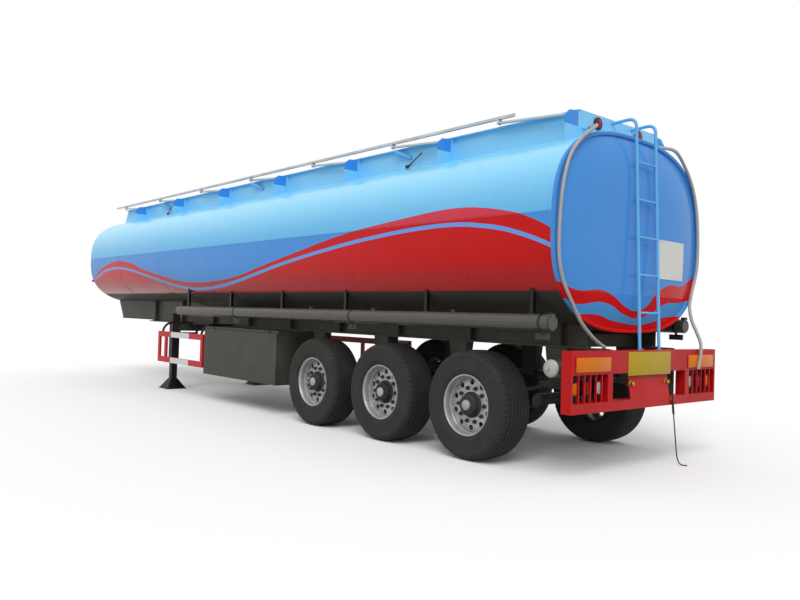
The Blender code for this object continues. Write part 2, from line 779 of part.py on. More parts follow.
def frame_rail(side):
    """A bottom flange and a web whose upper edge seats on the belly, with ribs on its outer face."""
    y = side * RAIL_LINE_Y
    x0 = at(FRAME_REAR)
    x1 = at(FRAME_FRONT)
    half = WEB_THICKNESS / 2
    roof = SHELL_BELLY_Z + 0.50
    pieces = [box(x0, x1, y - half, y + half, FRAME_BOTTOM_Z + 0.002, roof),
              box(x0, x1, y - FLANGE_WIDTH / 2, y + FLANGE_WIDTH / 2, FRAME_BOTTOM_Z,
                  FRAME_BOTTOM_Z + FLANGE_THICKNESS)]
    for station in cross_stations():
        outer = y + side * RIB_OUT
        pieces.append(box(at(station) - 0.005, at(station) + 0.005, y, outer, FRAME_BOTTOM_Z + 0.005, roof))
    return pieces


def cross_stations():
    """The stations of the cross members, spread evenly along the frame."""
    pitch = (FRAME_FRONT - FRAME_REAR - 0.5) / (CROSS_COUNT - 1)
    return [FRAME_REAR + 0.25 + pitch * index for index in range(CROSS_COUNT)]


def bumper_support(side):
    """A tapered plate below each rail that carries the bumper."""
    y = side * RAIL_LINE_Y
    x0 = at(BUMPER_DEPTH) + GAP
    outline = ((x0, BUMPER_BOTTOM_Z + 0.04), (x0 + 0.10, BUMPER_BOTTOM_Z + 0.04),
               (x0 + SUPPORT_REACH, FRAME_BOTTOM_Z + 0.01), (x0, FRAME_BOTTOM_Z + 0.01))
    return plate(outline, "y", y - WEB_THICKNESS / 2, y + WEB_THICKNESS / 2)


def make_chassis():
    """Both rails with cross members, the bumper's supports, the reservoir and the legs' beam."""
    pieces = []
    for _, side in SIDES:
        pieces += frame_rail(side)
        pieces.append(bumper_support(side))
        pieces.append(rod((at(RESERVOIR_STATION), side * (RAIL_LINE_Y - 0.004), RESERVOIR_Z),
                          (at(RESERVOIR_STATION), side * RESERVOIR_END_Y, RESERVOIR_Z), RESERVOIR_RADIUS, 16))
        pad = LEG_Y - LEG_OUTER / 2 - GAP
        pieces.append(box(at(LEG_STATION) - 0.08, at(LEG_STATION) + 0.08, side * (pad - LEG_PAD), side * pad,
                          FRAME_BOTTOM_Z - LEG_BEAM_DEPTH - 0.10, FRAME_BOTTOM_Z + 0.10))
    for station in cross_stations():
        x = at(station)
        pieces.append(box(x - CROSS_THICKNESS / 2, x + CROSS_THICKNESS / 2, -RAIL_LINE_Y, RAIL_LINE_Y,
                          FRAME_BOTTOM_Z + 0.003, FRAME_BOTTOM_Z + CROSS_DEPTH))
    reach = LEG_Y - LEG_OUTER / 2 - LEG_PAD / 2
    pieces.append(box(at(LEG_STATION) - LEG_BEAM_LENGTH / 2, at(LEG_STATION) + LEG_BEAM_LENGTH / 2, -reach, reach,
                      FRAME_BOTTOM_Z - LEG_BEAM_DEPTH, FRAME_BOTTOM_Z + 0.004))
    keep(clear_of_shell(fuse(pieces)), "chassis_frame", "frame_paint")


def make_coupler():
    """The rubbing plate with its kingpin, under two side gussets that rise to the nose."""
    x0 = at(COUPLER_REAR)
    x1 = at(COUPLER_PLATE_FRONT)
    nose = at(COUPLER_FRONT)
    base = COUPLER_PLATE_Z
    pieces = [box(x0, x1, -COUPLER_HALF_WIDTH, COUPLER_HALF_WIDTH, base, base + COUPLER_PLATE)]
    outline = ((x0, base + 0.002), (x1, base + 0.002), (nose, COUPLER_NOSE_Z), (nose, COUPLER_NOSE_Z + 0.30),
               (x0, COUPLER_NOSE_Z + 0.30))
    for _, side in SIDES:
        y = side * RAIL_LINE_Y
        pieces.append(plate(outline, "y", y - WEB_THICKNESS / 2, y + WEB_THICKNESS / 2))
    for station in (COUPLER_REAR + 0.10, KINGPIN_STATION, COUPLER_PLATE_FRONT - 0.15):
        pieces.append(box(at(station) - 0.006, at(station) + 0.006, -RAIL_LINE_Y, RAIL_LINE_Y,
                          base + 0.002, FRONT_BELLY_Z + 0.20))
    body = clear_of_shell(fuse(pieces))
    profile = ((0.0, 0.0), (0.0, 0.060), (-0.012, 0.060), (-0.012, KINGPIN_COLLAR), (-0.030, KINGPIN_COLLAR),
               (-0.030, KINGPIN_RADIUS), (-0.065, KINGPIN_RADIUS), (-0.065, KINGPIN_COLLAR),
               (-KINGPIN_LENGTH, KINGPIN_COLLAR), (-KINGPIN_LENGTH, 0.0))
    pin = turned(profile, (at(KINGPIN_STATION), 0, base + 0.004), (0, 0, 1), 20)
    keep(fuse([body, pin]), "coupler_plate", "frame_paint")


# Running gear

def make_wheels():
    """Six wide single tyres and their rims, each rim with its drum and hub."""
    for number, station in enumerate(axle_stations(), 1):
        for label, side in SIDES:
            centre = (at(station), side * TRACK_Y, TYRE_RADIUS)
            outward_axis = (0, side, 0)
            keep(turned(tyre_profile(), centre, outward_axis, WHEEL_SIDES), f"tyre_{number}_{label}",
                 "tyre_rubber", centre)
            keep(turned(rim_profile(), centre, outward_axis, RIM_SIDES), f"rim_{number}_{label}",
                 "rim_silver", centre)


def tyre_profile():
    """Half of the tyre from bead to crown as (across, radius), then its mirror image."""
    bead = RIM_HALF_WIDTH - RIM_FLANGE - GAP
    half = ((bead, BEAD_RADIUS + GAP), (bead, RIM_LIP_RADIUS + 0.002), (TYRE_HALF_WIDTH, TYRE_RADIUS * 0.77),
            (TYRE_HALF_WIDTH - 0.025, TYRE_RADIUS - 0.016), (TYRE_HALF_WIDTH - 0.070, TYRE_RADIUS))
    return list(half) + [(-across, radius) for across, radius in reversed(half)]


def rim_profile():
    """The rim, disc, hub and drum as one (across, radius) line that ends on the axis at both ends."""
    lip = RIM_HALF_WIDTH
    seat = lip - RIM_FLANGE
    bore = clear_radius(SPINDLE_RADIUS, PIN_GAP, RIM_SIDES)
    return ((0.120, 0.0), (0.120, bore), (-0.120, bore), (-0.120, DRUM_RADIUS), (0.040, DRUM_RADIUS),
            (0.040, 0.262), (-lip, RIM_LIP_RADIUS - 0.015), (-lip, RIM_LIP_RADIUS), (-seat, RIM_LIP_RADIUS),
            (-seat, BEAD_RADIUS), (seat, BEAD_RADIUS), (seat, RIM_LIP_RADIUS), (lip, RIM_LIP_RADIUS),
            (0.080, 0.258), (0.075, 0.128), (0.175, 0.110), (0.175, 0.0))


def make_axles():
    """A tube with spindles, backing plates, spring seats and brake chambers."""
    for number, station in enumerate(axle_stations(), 1):
        x = at(station)
        z = TYRE_RADIUS
        plate_y = TRACK_Y - 0.150
        pieces = [rod((x, -plate_y, z), (x, plate_y, z), AXLE_TUBE_RADIUS, 12)]
        for _, side in SIDES:
            pieces.append(rod((x, side * (plate_y - 0.01), z), (x, side * (TRACK_Y + 0.110), z), SPINDLE_RADIUS,
                              RIM_SIDES))
            pieces.append(rod((x, side * (plate_y - 0.006), z), (x, side * (plate_y + 0.006), z), BACKING_RADIUS, 16))
            seat_top = SPRING_BOTTOM_Z - GAP
            pieces.append(box(x - 0.07, x + 0.07, side * SPRING_Y - LEAF_WIDTH / 2, side * SPRING_Y + LEAF_WIDTH / 2,
                              z, seat_top))
            chamber = Vector((x - 0.20, side * 0.36, z + 0.02))
            pieces.append(rod(chamber, chamber + Vector((0.11, 0, 0)), 0.075, 12))
            pieces.append(box(x - 0.10, x, side * 0.34, side * 0.38, z - 0.02, z + 0.03))
        keep(fuse(pieces), f"axle_{number}", "frame_paint")


def spring_outline(x):
    """One leaf pack seen from the side: a bowed top leaf over stepped shorter ones."""
    def bow(offset):
        return SPRING_SAG * (offset / SPRING_HALF_LENGTH) ** 2

    shortest = SPRING_HALF_LENGTH * (1 - LEAF_STEP * (LEAF_COUNT - 1))
    top = SPRING_BOTTOM_Z + LEAF_THICKNESS * LEAF_COUNT - bow(shortest)
    upper = []
    for step in range(-4, 5):
        offset = SPRING_HALF_LENGTH * step / 4
        upper.append((x + offset, top + bow(offset)))
    lower = []
    for leaf in range(1, LEAF_COUNT + 1):
        reach = SPRING_HALF_LENGTH * (1 - LEAF_STEP * (leaf - 1))
        shorter = SPRING_HALF_LENGTH * (1 - LEAF_STEP * leaf)
        under = top - LEAF_THICKNESS * leaf
        lower.append((reach, under + bow(reach)))
        if leaf < LEAF_COUNT:
            lower.append((shorter, under + bow(shorter)))
    right = [(x + offset, z) for offset, z in lower]
    left = [(x - offset, z) for offset, z in reversed(lower)]
    return upper + right + left


def hanger_outline(x, foot_z):
    """A tapered hanger seen from the side."""
    top = FRAME_BOTTOM_Z - GAP
    return ((x - HANGER_TOP_LENGTH / 2, top), (x + HANGER_TOP_LENGTH / 2, top),
            (x + HANGER_FOOT_LENGTH / 2, foot_z), (x - HANGER_FOOT_LENGTH / 2, foot_z))


def make_suspension():
    """Leaf packs between hangers, one chain a side."""
    foot_z = SPRING_BOTTOM_Z + LEAF_THICKNESS * (LEAF_COUNT - 1) + SPRING_SAG * 0.6
    for label, side in SIDES:
        y = side * SPRING_Y
        pieces = []
        for index in range(AXLE_COUNT + 1):
            x = at(REAR_AXLE - AXLE_PITCH / 2 + AXLE_PITCH * index)
            pieces.append(plate(hanger_outline(x, foot_z), "y", y - HANGER_WIDTH / 2, y + HANGER_WIDTH / 2))
            rocker = SPRING_BOTTOM_Z + LEAF_THICKNESS * LEAF_COUNT + SPRING_SAG * 0.5
            behind = ROCKER_STUB if index == 0 else ROCKER_REACH
            ahead = ROCKER_STUB if index == AXLE_COUNT else ROCKER_REACH
            pieces.append(box(x - behind, x + ahead, y - 0.03, y + 0.03, rocker, rocker + 0.05))
        for station in axle_stations():
            pieces.append(plate(spring_outline(at(station)), "y", y - LEAF_WIDTH / 2, y + LEAF_WIDTH / 2))
        keep(fuse(pieces), f"suspension_{label}", "frame_paint")


# Landing legs

def make_legs():
    """Two square telescopic legs with pyramid feet."""
    x = at(LEG_STATION)
    for label, side in SIDES:
        y = side * LEG_Y
        foot = rod((x, y, FOOT_PLATE_THICKNESS - 0.001), (x, y, FOOT_HEIGHT), FOOT_PLATE * 0.66, 4, LEG_INNER * 0.85)
        spin = Matrix.Translation((x, y, 0)) @ Matrix.Rotation(math.radians(45), 4, "Z") @ Matrix.Translation((-x, -y, 0))
        foot.data.transform(spin)
        half = FOOT_PLATE / 2
        pieces = [box(x - LEG_OUTER / 2, x + LEG_OUTER / 2, y - LEG_OUTER / 2, y + LEG_OUTER / 2,
                      LEG_SLEEVE_Z, LEG_TOP_Z),
                  box(x - LEG_INNER / 2, x + LEG_INNER / 2, y - LEG_INNER / 2, y + LEG_INNER / 2,
                      FOOT_HEIGHT - 0.03, LEG_SLEEVE_Z + 0.02),
                  foot,
                  box(x - half, x + half, y - half, y + half, GROUND_Z, FOOT_PLATE_THICKNESS)]
        keep(clear_of_shell(fuse(pieces)), f"landing_leg_{label}", "black_steel")


# Cabinet

CABINET_TOP_Z = FRAME_BOTTOM_Z - GAP


def make_cabinet():
    """A hollow steel box open on its outer side, and the door that covers the opening."""
    x0 = at(CABINET_REAR)
    x1 = at(CABINET_FRONT)
    body_y = CABINET_OUTER_Y - DOOR_THICKNESS - GAP
    body = box(x0, x1, CABINET_INNER_Y, body_y, CABINET_BOTTOM_Z, CABINET_TOP_Z)
    room = box(x0 + CABINET_WALL, x1 - CABINET_WALL, CABINET_INNER_Y + CABINET_WALL, body_y - CABINET_WALL,
               CABINET_BOTTOM_Z + CABINET_WALL, CABINET_TOP_Z - CABINET_WALL)
    mouth = box(x0 + CABINET_FRAME, x1 - CABINET_FRAME, CABINET_OUTER_Y - 0.20, CABINET_OUTER_Y + 0.10,
                CABINET_BOTTOM_Z + CABINET_FRAME, CABINET_TOP_Z - CABINET_FRAME)
    body = cut(body, [room, mouth])
    hinge_y = body_y + DOOR_THICKNESS / 2
    hinge_z = CABINET_TOP_Z - 0.020
    ears = []
    for station in (CABINET_REAR + 0.25, CABINET_FRONT - 0.25):
        for edge in (-1, 1):
            inner = at(station) + edge * (0.040 + PIN_GAP)
            outer = at(station) + edge * (0.048 + PIN_GAP)
            ears.append(box(inner, outer, body_y - 0.003, hinge_y + 0.008, hinge_z - 0.010, hinge_z + 0.010))
        ears.append(rod((at(station) - 0.044, hinge_y, hinge_z), (at(station) + 0.044, hinge_y, hinge_z),
                        DOOR_PIN_RADIUS / 2))
    body = fuse([body] + ears)
    keep(body, "cabinet_body", "frame_paint")
    door = box(x0, x1, body_y + GAP, CABINET_OUTER_Y, CABINET_BOTTOM_Z, hinge_z - 0.014)
    knuckles = []
    for station in (CABINET_REAR + 0.25, CABINET_FRONT - 0.25):
        knuckles.append(rod((at(station) - 0.040, hinge_y, hinge_z), (at(station) + 0.040, hinge_y, hinge_z),
                            DOOR_PIN_RADIUS, EYE_SIDES))
        knuckles.append(box(at(station) - 0.040, at(station) + 0.040, hinge_y - 0.003, hinge_y + 0.003,
                            hinge_z - 0.020, hinge_z))
    bores = [rod((at(station) - 0.060, hinge_y, hinge_z), (at(station) + 0.060, hinge_y, hinge_z),
                 clear_radius(DOOR_PIN_RADIUS / 2, PIN_GAP, PIN_SIDES))
             for station in (CABINET_REAR + 0.25, CABINET_FRONT - 0.25)]
    keep(cut(fuse([door] + knuckles), bores), "cabinet_door", "frame_paint", (at(CABINET_REAR), hinge_y, hinge_z))


# Side guards

def make_guards():
    """Flat rail frames; the left one fills the space ahead of the cabinet, the right one is long."""
    rear_ends = {"left": GUARD_REAR_LEFT, "right": GUARD_REAR_RIGHT}
    for label, side in SIDES:
        rear = rear_ends[label]
        x0 = at(rear)
        x1 = at(GUARD_FRONT)
        outer = side * GUARD_OUTER_Y
        inner = side * (GUARD_OUTER_Y - GUARD_THICKNESS)
        pieces = [box(x0, x1, inner, outer, GUARD_BOTTOM_Z, GUARD_BOTTOM_Z + GUARD_RAIL),
                  box(x0, x1, inner, outer, GUARD_TOP_Z - GUARD_RAIL, GUARD_TOP_Z)]
        bays = max(1, round((GUARD_FRONT - GUARD_SLOT - rear) / 1.2))
        pitch = (GUARD_FRONT - GUARD_SLOT - rear) / bays
        uprights = [rear + pitch * index for index in range(bays + 1)] + [GUARD_FRONT - GUARD_POST]
        for station in uprights:
            pieces.append(box(at(station), at(station) + GUARD_POST, inner, outer,
                              GUARD_BOTTOM_Z + 0.01, GUARD_TOP_Z - 0.01))
        for station in (uprights[0], uprights[-2]):
            x = at(station) + GUARD_POST / 2
            pieces.append(box(x - GUARD_ARM / 2, x + GUARD_ARM / 2, side * GUARD_ARM_INNER_Y,
                              side * (GUARD_OUTER_Y - 0.01), GUARD_TOP_Z - GUARD_ARM - 0.01, GUARD_TOP_Z - 0.01))
            pieces.append(box(x - GUARD_ARM / 2, x + GUARD_ARM / 2, side * GUARD_ARM_INNER_Y,
                              side * (GUARD_ARM_INNER_Y + 0.03), GUARD_TOP_Z - GUARD_ARM - 0.01,
                              FRAME_BOTTOM_Z - GAP))
        keep(fuse(pieces), f"side_guard_{label}", "red_paint")


# Hose tubes

def make_hose_tubes():
    """A long open pipe a side on hangers from the shell, with a cap hinged over its rear mouth."""
    for label, side in SIDES:
        y = side * TUBE_Y
        x0 = at(TUBE_REAR)
        x1 = at(TUBE_FRONT)
        pipe = rod((x0, y, TUBE_Z), (x1, y, TUBE_Z), TUBE_RADIUS, TUBE_SIDES)
        pitch = (TUBE_FRONT - TUBE_REAR - 0.5) / (TUBE_BRACKETS - 1)
        hangers = []
        for index in range(TUBE_BRACKETS):
            x = at(TUBE_REAR + 0.25 + pitch * index)
            hangers.append(clear_of_shell(box(x - 0.02, x + 0.02, y - side * 0.06, y - side * 0.02, TUBE_Z + 0.04,
                                              SHELL_BELLY_Z + 0.45)))
        hinge_z = TUBE_Z + TUBE_RADIUS + 0.012
        hinge_x = x0 - CAP_THICKNESS / 2 - GAP
        ears = []
        for edge in (-1, 1):
            ears.append(box(hinge_x - 0.008, x0 + 0.03, y + edge * (0.020 + PIN_GAP), y + edge * (0.027 + PIN_GAP),
                            TUBE_Z + TUBE_RADIUS - 0.006, hinge_z + 0.008))
        ears.append(rod((hinge_x, y - 0.024, hinge_z), (hinge_x, y + 0.024, hinge_z), CAP_PIN_RADIUS / 2))
        bore = rod((x0 - 0.01, y, TUBE_Z), (x1 - 0.01, y, TUBE_Z), TUBE_RADIUS - TUBE_WALL, TUBE_SIDES)
        pipe = cut(fuse([pipe] + hangers + ears), [bore])
        keep(pipe, f"hose_tube_{label}", "frame_paint")
        lid = rod((x0 - GAP, y, TUBE_Z), (x0 - GAP - CAP_THICKNESS, y, TUBE_Z), TUBE_RADIUS - CAP_INSET, TUBE_SIDES)
        tongue = box(hinge_x - 0.004, hinge_x + 0.004, y - 0.018, y + 0.018, TUBE_Z + TUBE_RADIUS - 0.02, hinge_z)
        knuckle = rod((hinge_x, y - 0.020, hinge_z), (hinge_x, y + 0.020, hinge_z), CAP_PIN_RADIUS, EYE_SIDES)
        pin_bore = rod((hinge_x, y - 0.05, hinge_z), (hinge_x, y + 0.05, hinge_z),
                       clear_radius(CAP_PIN_RADIUS / 2, PIN_GAP, PIN_SIDES))
        cap = cut(fuse([lid, tongue, knuckle]), [pin_bore])
        keep(cap, f"hose_tube_cap_{label}", "frame_paint", (hinge_x, y, hinge_z))


# Drain hoses and earthing strap

def make_drain_hoses():
    """Hoses from the dam's corners, round the rear rim; the right one ends over the bumper."""
    start_x = at(DAM_REAR) - DRAIN_STUB_LENGTH - GAP
    stub_y = DRAIN_STUB_Y - 0.05
    stub_z = DRAIN_STUB_Z + 0.03
    behind = at(REAR_RIM) - DRAIN_HOSE_RADIUS - 0.004
    left_run = ((0.90, 3.030), (1.060, 2.860), (1.145, 2.655), (1.190, 2.404), (1.205, 2.080), (1.180, 1.865),
                (1.110, 1.700), (0.990, 1.540), (0.855, 1.376), (0.690, 1.250), (0.560, 1.180))
    right_run = ((0.90, 3.040), (1.060, 2.860), (1.160, 2.640), (1.205, 2.400), (1.215, 2.150), (1.190, 1.930),
                 (1.110, 1.730))
    left = [(start_x, stub_y, stub_z), (start_x - 0.025, stub_y, stub_z), (start_x - 0.05, stub_y, stub_z), (behind - 0.002, 0.70, 3.165)]
    left += [(behind, y, z) for y, z in left_run]
    left += [(behind - 0.02, 0.500, BUMPER_TOP_Z + DRAIN_HOSE_RADIUS + 0.001)]
    right = [(start_x, -stub_y, stub_z), (start_x - 0.025, -stub_y, stub_z), (start_x - 0.05, -stub_y, stub_z), (behind - 0.002, -0.70, 3.165)]
    right += [(behind, -y, z) for y, z in right_run]
    over = at(0) - DRAIN_HOSE_RADIUS - 0.002
    right += [(behind - 0.012, -1.045, 1.570), (at(0.135), -0.990, 1.420), (at(0.060), -0.955, 1.300),
              (at(0.002), -0.925, 1.195), (over, -0.895, 1.090), (over, -0.870, 1.000), (over, -0.850, 0.930)]
    keep(bent_tube(left, DRAIN_HOSE_RADIUS, 2, smooth=True), "drain_hose_left", "hose_rubber")
    keep(bent_tube(right, DRAIN_HOSE_RADIUS, 2, smooth=True), "drain_hose_right", "hose_rubber")


def make_strap():
    """An earthing strap from its clip on the bumper's bar, over the edge and down to the ground."""
    bend = at(STRAP_BEND_STATION)
    crest = BUMPER_BAR_TOP_Z + STRAP_CREST
    low = GROUND_Z + STRAP_RADIUS + 0.0005
    clip = at(STRAP_CLIP_STATION) - GAP
    points = [(clip, STRAP_Y, crest), (clip - 0.015, STRAP_Y, crest), (clip - 0.030, STRAP_Y, crest)]
    for degrees in (15, 45, 75):
        angle = math.radians(degrees)
        points.append((bend - STRAP_BEND * math.sin(angle), STRAP_Y, crest - STRAP_BEND * (1 - math.cos(angle))))
    hang = bend - STRAP_BEND
    run = ((0.000, 0.006, 0.600), (0.003, 0.022, 0.480), (0.006, 0.045, 0.330), (0.010, 0.064, 0.180),
           (0.016, 0.078, 0.080), (0.032, 0.090, 0.026), (0.060, 0.104, low), (0.100, 0.122, low))
    points += [(hang - back, STRAP_Y - across, z) for back, across, z in run]
    keep(bent_tube(points, STRAP_RADIUS, 1, smooth=True), "earthing_strap", "black_steel")


SHELL_CUTTER = shell_body(GAP)
make_tank()
make_lids()
make_dam()
make_handrails()
make_ladder()
make_bumper()
make_lamps()
make_chassis()
make_coupler()
make_wheels()
make_axles()
make_suspension()
make_legs()
make_cabinet()
make_guards()
make_hose_tubes()
make_drain_hoses()
make_strap()
bpy.data.objects.remove(SHELL_CUTTER, do_unlink=True)
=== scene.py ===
"""The looks of a tanker semi-trailer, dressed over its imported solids."""

import math

import bmesh
import bpy
from mathutils import Matrix, Vector


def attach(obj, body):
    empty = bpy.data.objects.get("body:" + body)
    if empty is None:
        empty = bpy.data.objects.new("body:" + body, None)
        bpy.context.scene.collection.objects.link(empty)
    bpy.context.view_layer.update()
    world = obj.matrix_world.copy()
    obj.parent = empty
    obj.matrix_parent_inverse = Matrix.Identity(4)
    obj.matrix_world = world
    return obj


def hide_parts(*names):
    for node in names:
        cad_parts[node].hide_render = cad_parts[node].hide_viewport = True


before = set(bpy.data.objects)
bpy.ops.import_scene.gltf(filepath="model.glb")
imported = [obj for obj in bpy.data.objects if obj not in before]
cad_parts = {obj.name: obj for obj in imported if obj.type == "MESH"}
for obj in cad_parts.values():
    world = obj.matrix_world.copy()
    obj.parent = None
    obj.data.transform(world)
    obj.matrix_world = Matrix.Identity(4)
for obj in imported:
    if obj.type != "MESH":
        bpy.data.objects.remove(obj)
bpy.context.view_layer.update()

# Sizes shared with the solids, in metres

LENGTH = 12.10
SIDES = (("left", 1), ("right", -1))
HALF_WIDTH = 1.255
TOP_Z = 3.176
BELLY_Z = 1.294
FRONT_BELLY_Z = 1.470
STEP_START = 7.177
STEP_END = 8.477
SECTION_POWER = 2.7
REAR_RIM = 0.227
RIM_BAND = 0.050
RIM_PROUD = 0.012
RIM_RECESS = 0.018
RIM_SHARE = 0.975
REAR_DISH = 0.078
FRONT_DISH = 0.270
AXLE_STATIONS = (1.277, 2.587, 3.897)
WHEEL_Z = 0.536
TRACK_Y = 1.026
MANHOLES = (1.60, 3.80, 6.00, 8.20, 10.40)
HEAD_ZONE_X = -5.800
DAM_REAR = 0.422
BUMPER_TOP_Z = 1.128
AFT = (-1, 0, 0)
UP = (0, 0, 1)
QUARTER = tuple(math.radians(step) for step in range(0, 91, 15))


def at(station):
    """The x of a station, counted forward from the bumper's rear face."""
    return station - LENGTH / 2


# Colours and shader nodes

def tone(code):
    """A linear colour from an sRGB hex value."""
    parts = [int(code[index:index + 2], 16) / 255 for index in (1, 3, 5)]
    linear = [part / 12.92 if part <= 0.04045 else ((part + 0.055) / 1.055) ** 2.4 for part in parts]
    return (*linear, 1.0)


def add(tree, kind, inputs=None, **settings):
    """A shader node with its settings and links; an input is a value, a socket or another node."""
    made = tree.nodes.new(kind)
    for name, value in settings.items():
        setattr(made, name, value)
    for key, value in (inputs or {}).items():
        if isinstance(value, bpy.types.Node):
            value = next(socket for socket in value.outputs if socket.enabled)
        if isinstance(value, bpy.types.NodeSocket):
            tree.links.new(value, made.inputs[key])
        else:
            made.inputs[key].default_value = value
    return made


def span(tree, value, low, high, start=0.0, end=1.0, **settings):
    """A value between two limits, read as a number from start to end and held there."""
    return add(tree, "ShaderNodeMapRange", {0: value, 1: low, 2: high, 3: start, 4: end}, **settings)


def mix(tree, share, first, second):
    """A colour between two colours."""
    return add(tree, "ShaderNodeMix", {0: share, 6: first, 7: second}, data_type="RGBA")


def between(tree, share, first, second):
    """A number between two numbers."""
    return add(tree, "ShaderNodeMix", {0: share, 2: first, 3: second})


def reckon(tree, operation, *values):
    """A sum or a comparison of up to three values."""
    return add(tree, "ShaderNodeMath", dict(enumerate(values)), operation=operation)


def noise(tree, place, scale, detail):
    """A cloudy pattern, its scale per metre."""
    return add(tree, "ShaderNodeTexNoise", {"Vector": place, "Scale": scale, "Detail": detail})


def bump(tree, height, distance, strength):
    """A relief read from a pattern, its depth in metres."""
    return add(tree, "ShaderNodeBump", {"Height": height, "Distance": distance, "Strength": strength})


def veil(tree, pattern, low, high, amount, paint, code):
    """A paint with another colour over it, up to an amount, where a pattern goes from low to high."""
    return mix(tree, span(tree, pattern, low, high, 0.0, amount), paint, tone(code))


def blank(name):
    """An empty material, its node tree and its object coordinates in metres."""
    made = bpy.data.materials.new(name)
    made.use_nodes = True
    made.node_tree.nodes.clear()
    return made, made.node_tree, add(made.node_tree, "ShaderNodeTexCoord").outputs["Object"]


def surface(tree, **inputs):
    """The material's shader and output, once its patterns are made."""
    named = {key.replace("_", " "): value for key, value in inputs.items()}
    shader = add(tree, "ShaderNodeBsdfPrincipled", named)
    add(tree, "ShaderNodeOutputMaterial", {"Surface": shader})


# Livery edges: heights of the paint's waves along the flank from the rear axle, and across the rear head

SIDE_WAVE = ((10.535, 1.940), (10.122, 2.082), (9.677, 2.192), (9.109, 2.246), (8.651, 2.215), (8.031, 2.086),
             (7.418, 1.968), (6.843, 1.878), (6.261, 1.819), (5.702, 1.804), (5.189, 1.820), (4.600, 1.872),
             (3.924, 1.983), (3.400, 2.075), (2.894, 2.162), (2.357, 2.256), (1.866, 2.328), (1.414, 2.374),
             (0.995, 2.410), (0.608, 2.441), (0.247, 2.459), (0.019, 2.454), (-0.203, 2.431), (-0.415, 2.396),
             (-0.618, 2.351), (-0.812, 2.283), (-1.033, 2.180))
SIDE_LINE = ((10.762, 1.854), (10.174, 1.993), (9.699, 2.088), (9.203, 2.118), (8.604, 2.075), (8.077, 1.992),
             (7.499, 1.890), (6.973, 1.796), (6.387, 1.725), (5.790, 1.706), (5.257, 1.732), (4.639, 1.800),
             (3.942, 1.910), (3.336, 2.010), (2.794, 2.088), (2.352, 2.144), (1.857, 2.203), (1.404, 2.245),
             (0.984, 2.276), (0.594, 2.294), (0.231, 2.297), (0.004, 2.285), (-0.215, 2.258), (-0.425, 2.224),
             (-0.625, 2.174), (-0.816, 2.113), (-1.015, 2.037))
HEAD_TOP = ((1.255, 1.735), (1.144, 1.719), (1.042, 1.689), (0.895, 1.660), (0.588, 1.674),
            (0.393, 1.627), (0.172, 1.531), (-0.003, 1.497), (-0.18, 1.541), (-0.359, 1.686),
            (-0.604, 1.773), (-0.845, 1.774), (-1.049, 1.842), (-1.255, 1.900))
HEAD_LOW = ((1.255, 1.640), (1.139, 1.606), (1.008, 1.559), (0.889, 1.536), (0.584, 1.564),
            (0.422, 1.542), (0.169, 1.454), (-0.059, 1.426), (-0.275, 1.474), (-0.554, 1.583),
            (-0.852, 1.603), (-1.255, 1.660))
HEAD_CRESCENT = ((1.255, 1.400), (0.93, 1.437), (0.579, 1.445), (0.384, 1.403), (0.165, 1.378),
                 (-0.098, 1.363), (-0.371, 1.397), (-0.56, 1.440), (-0.93, 1.460), (-1.255, 1.430))
REAR_AXLE_X = at(AXLE_STATIONS[0])
LINE_HALF = 0.021
SKIRT_Z = 1.648
LOW_LAP_Z = 1.870
EDGE_FLOOR = 1.2
EDGE_CEILING = 2.6
SEAM_Z = 2.335
ROAD_DUST = "#8f887a"
EDGE_BLUR = 0.002


def livery_edge(tree, along, points):
    """The height of a painted edge, read from a smooth line through (along, height) points."""
    points = sorted(points)
    first, last = points[0][0], points[-1][0]
    rise = EDGE_CEILING - EDGE_FLOOR
    line = add(tree, "ShaderNodeFloatCurve", {"Value": span(tree, along, first, last)})
    curve = line.mapping.curves[0]
    placed = [((spot - first) / (last - first), (height - EDGE_FLOOR) / rise) for spot, height in points]
    curve.points[0].location = placed[0]
    curve.points[1].location = placed[-1]
    for spot in placed[1:-1]:
        curve.points.new(*spot)
    line.mapping.update()
    return span(tree, line, 0.0, 1.0, EDGE_FLOOR, EDGE_CEILING)


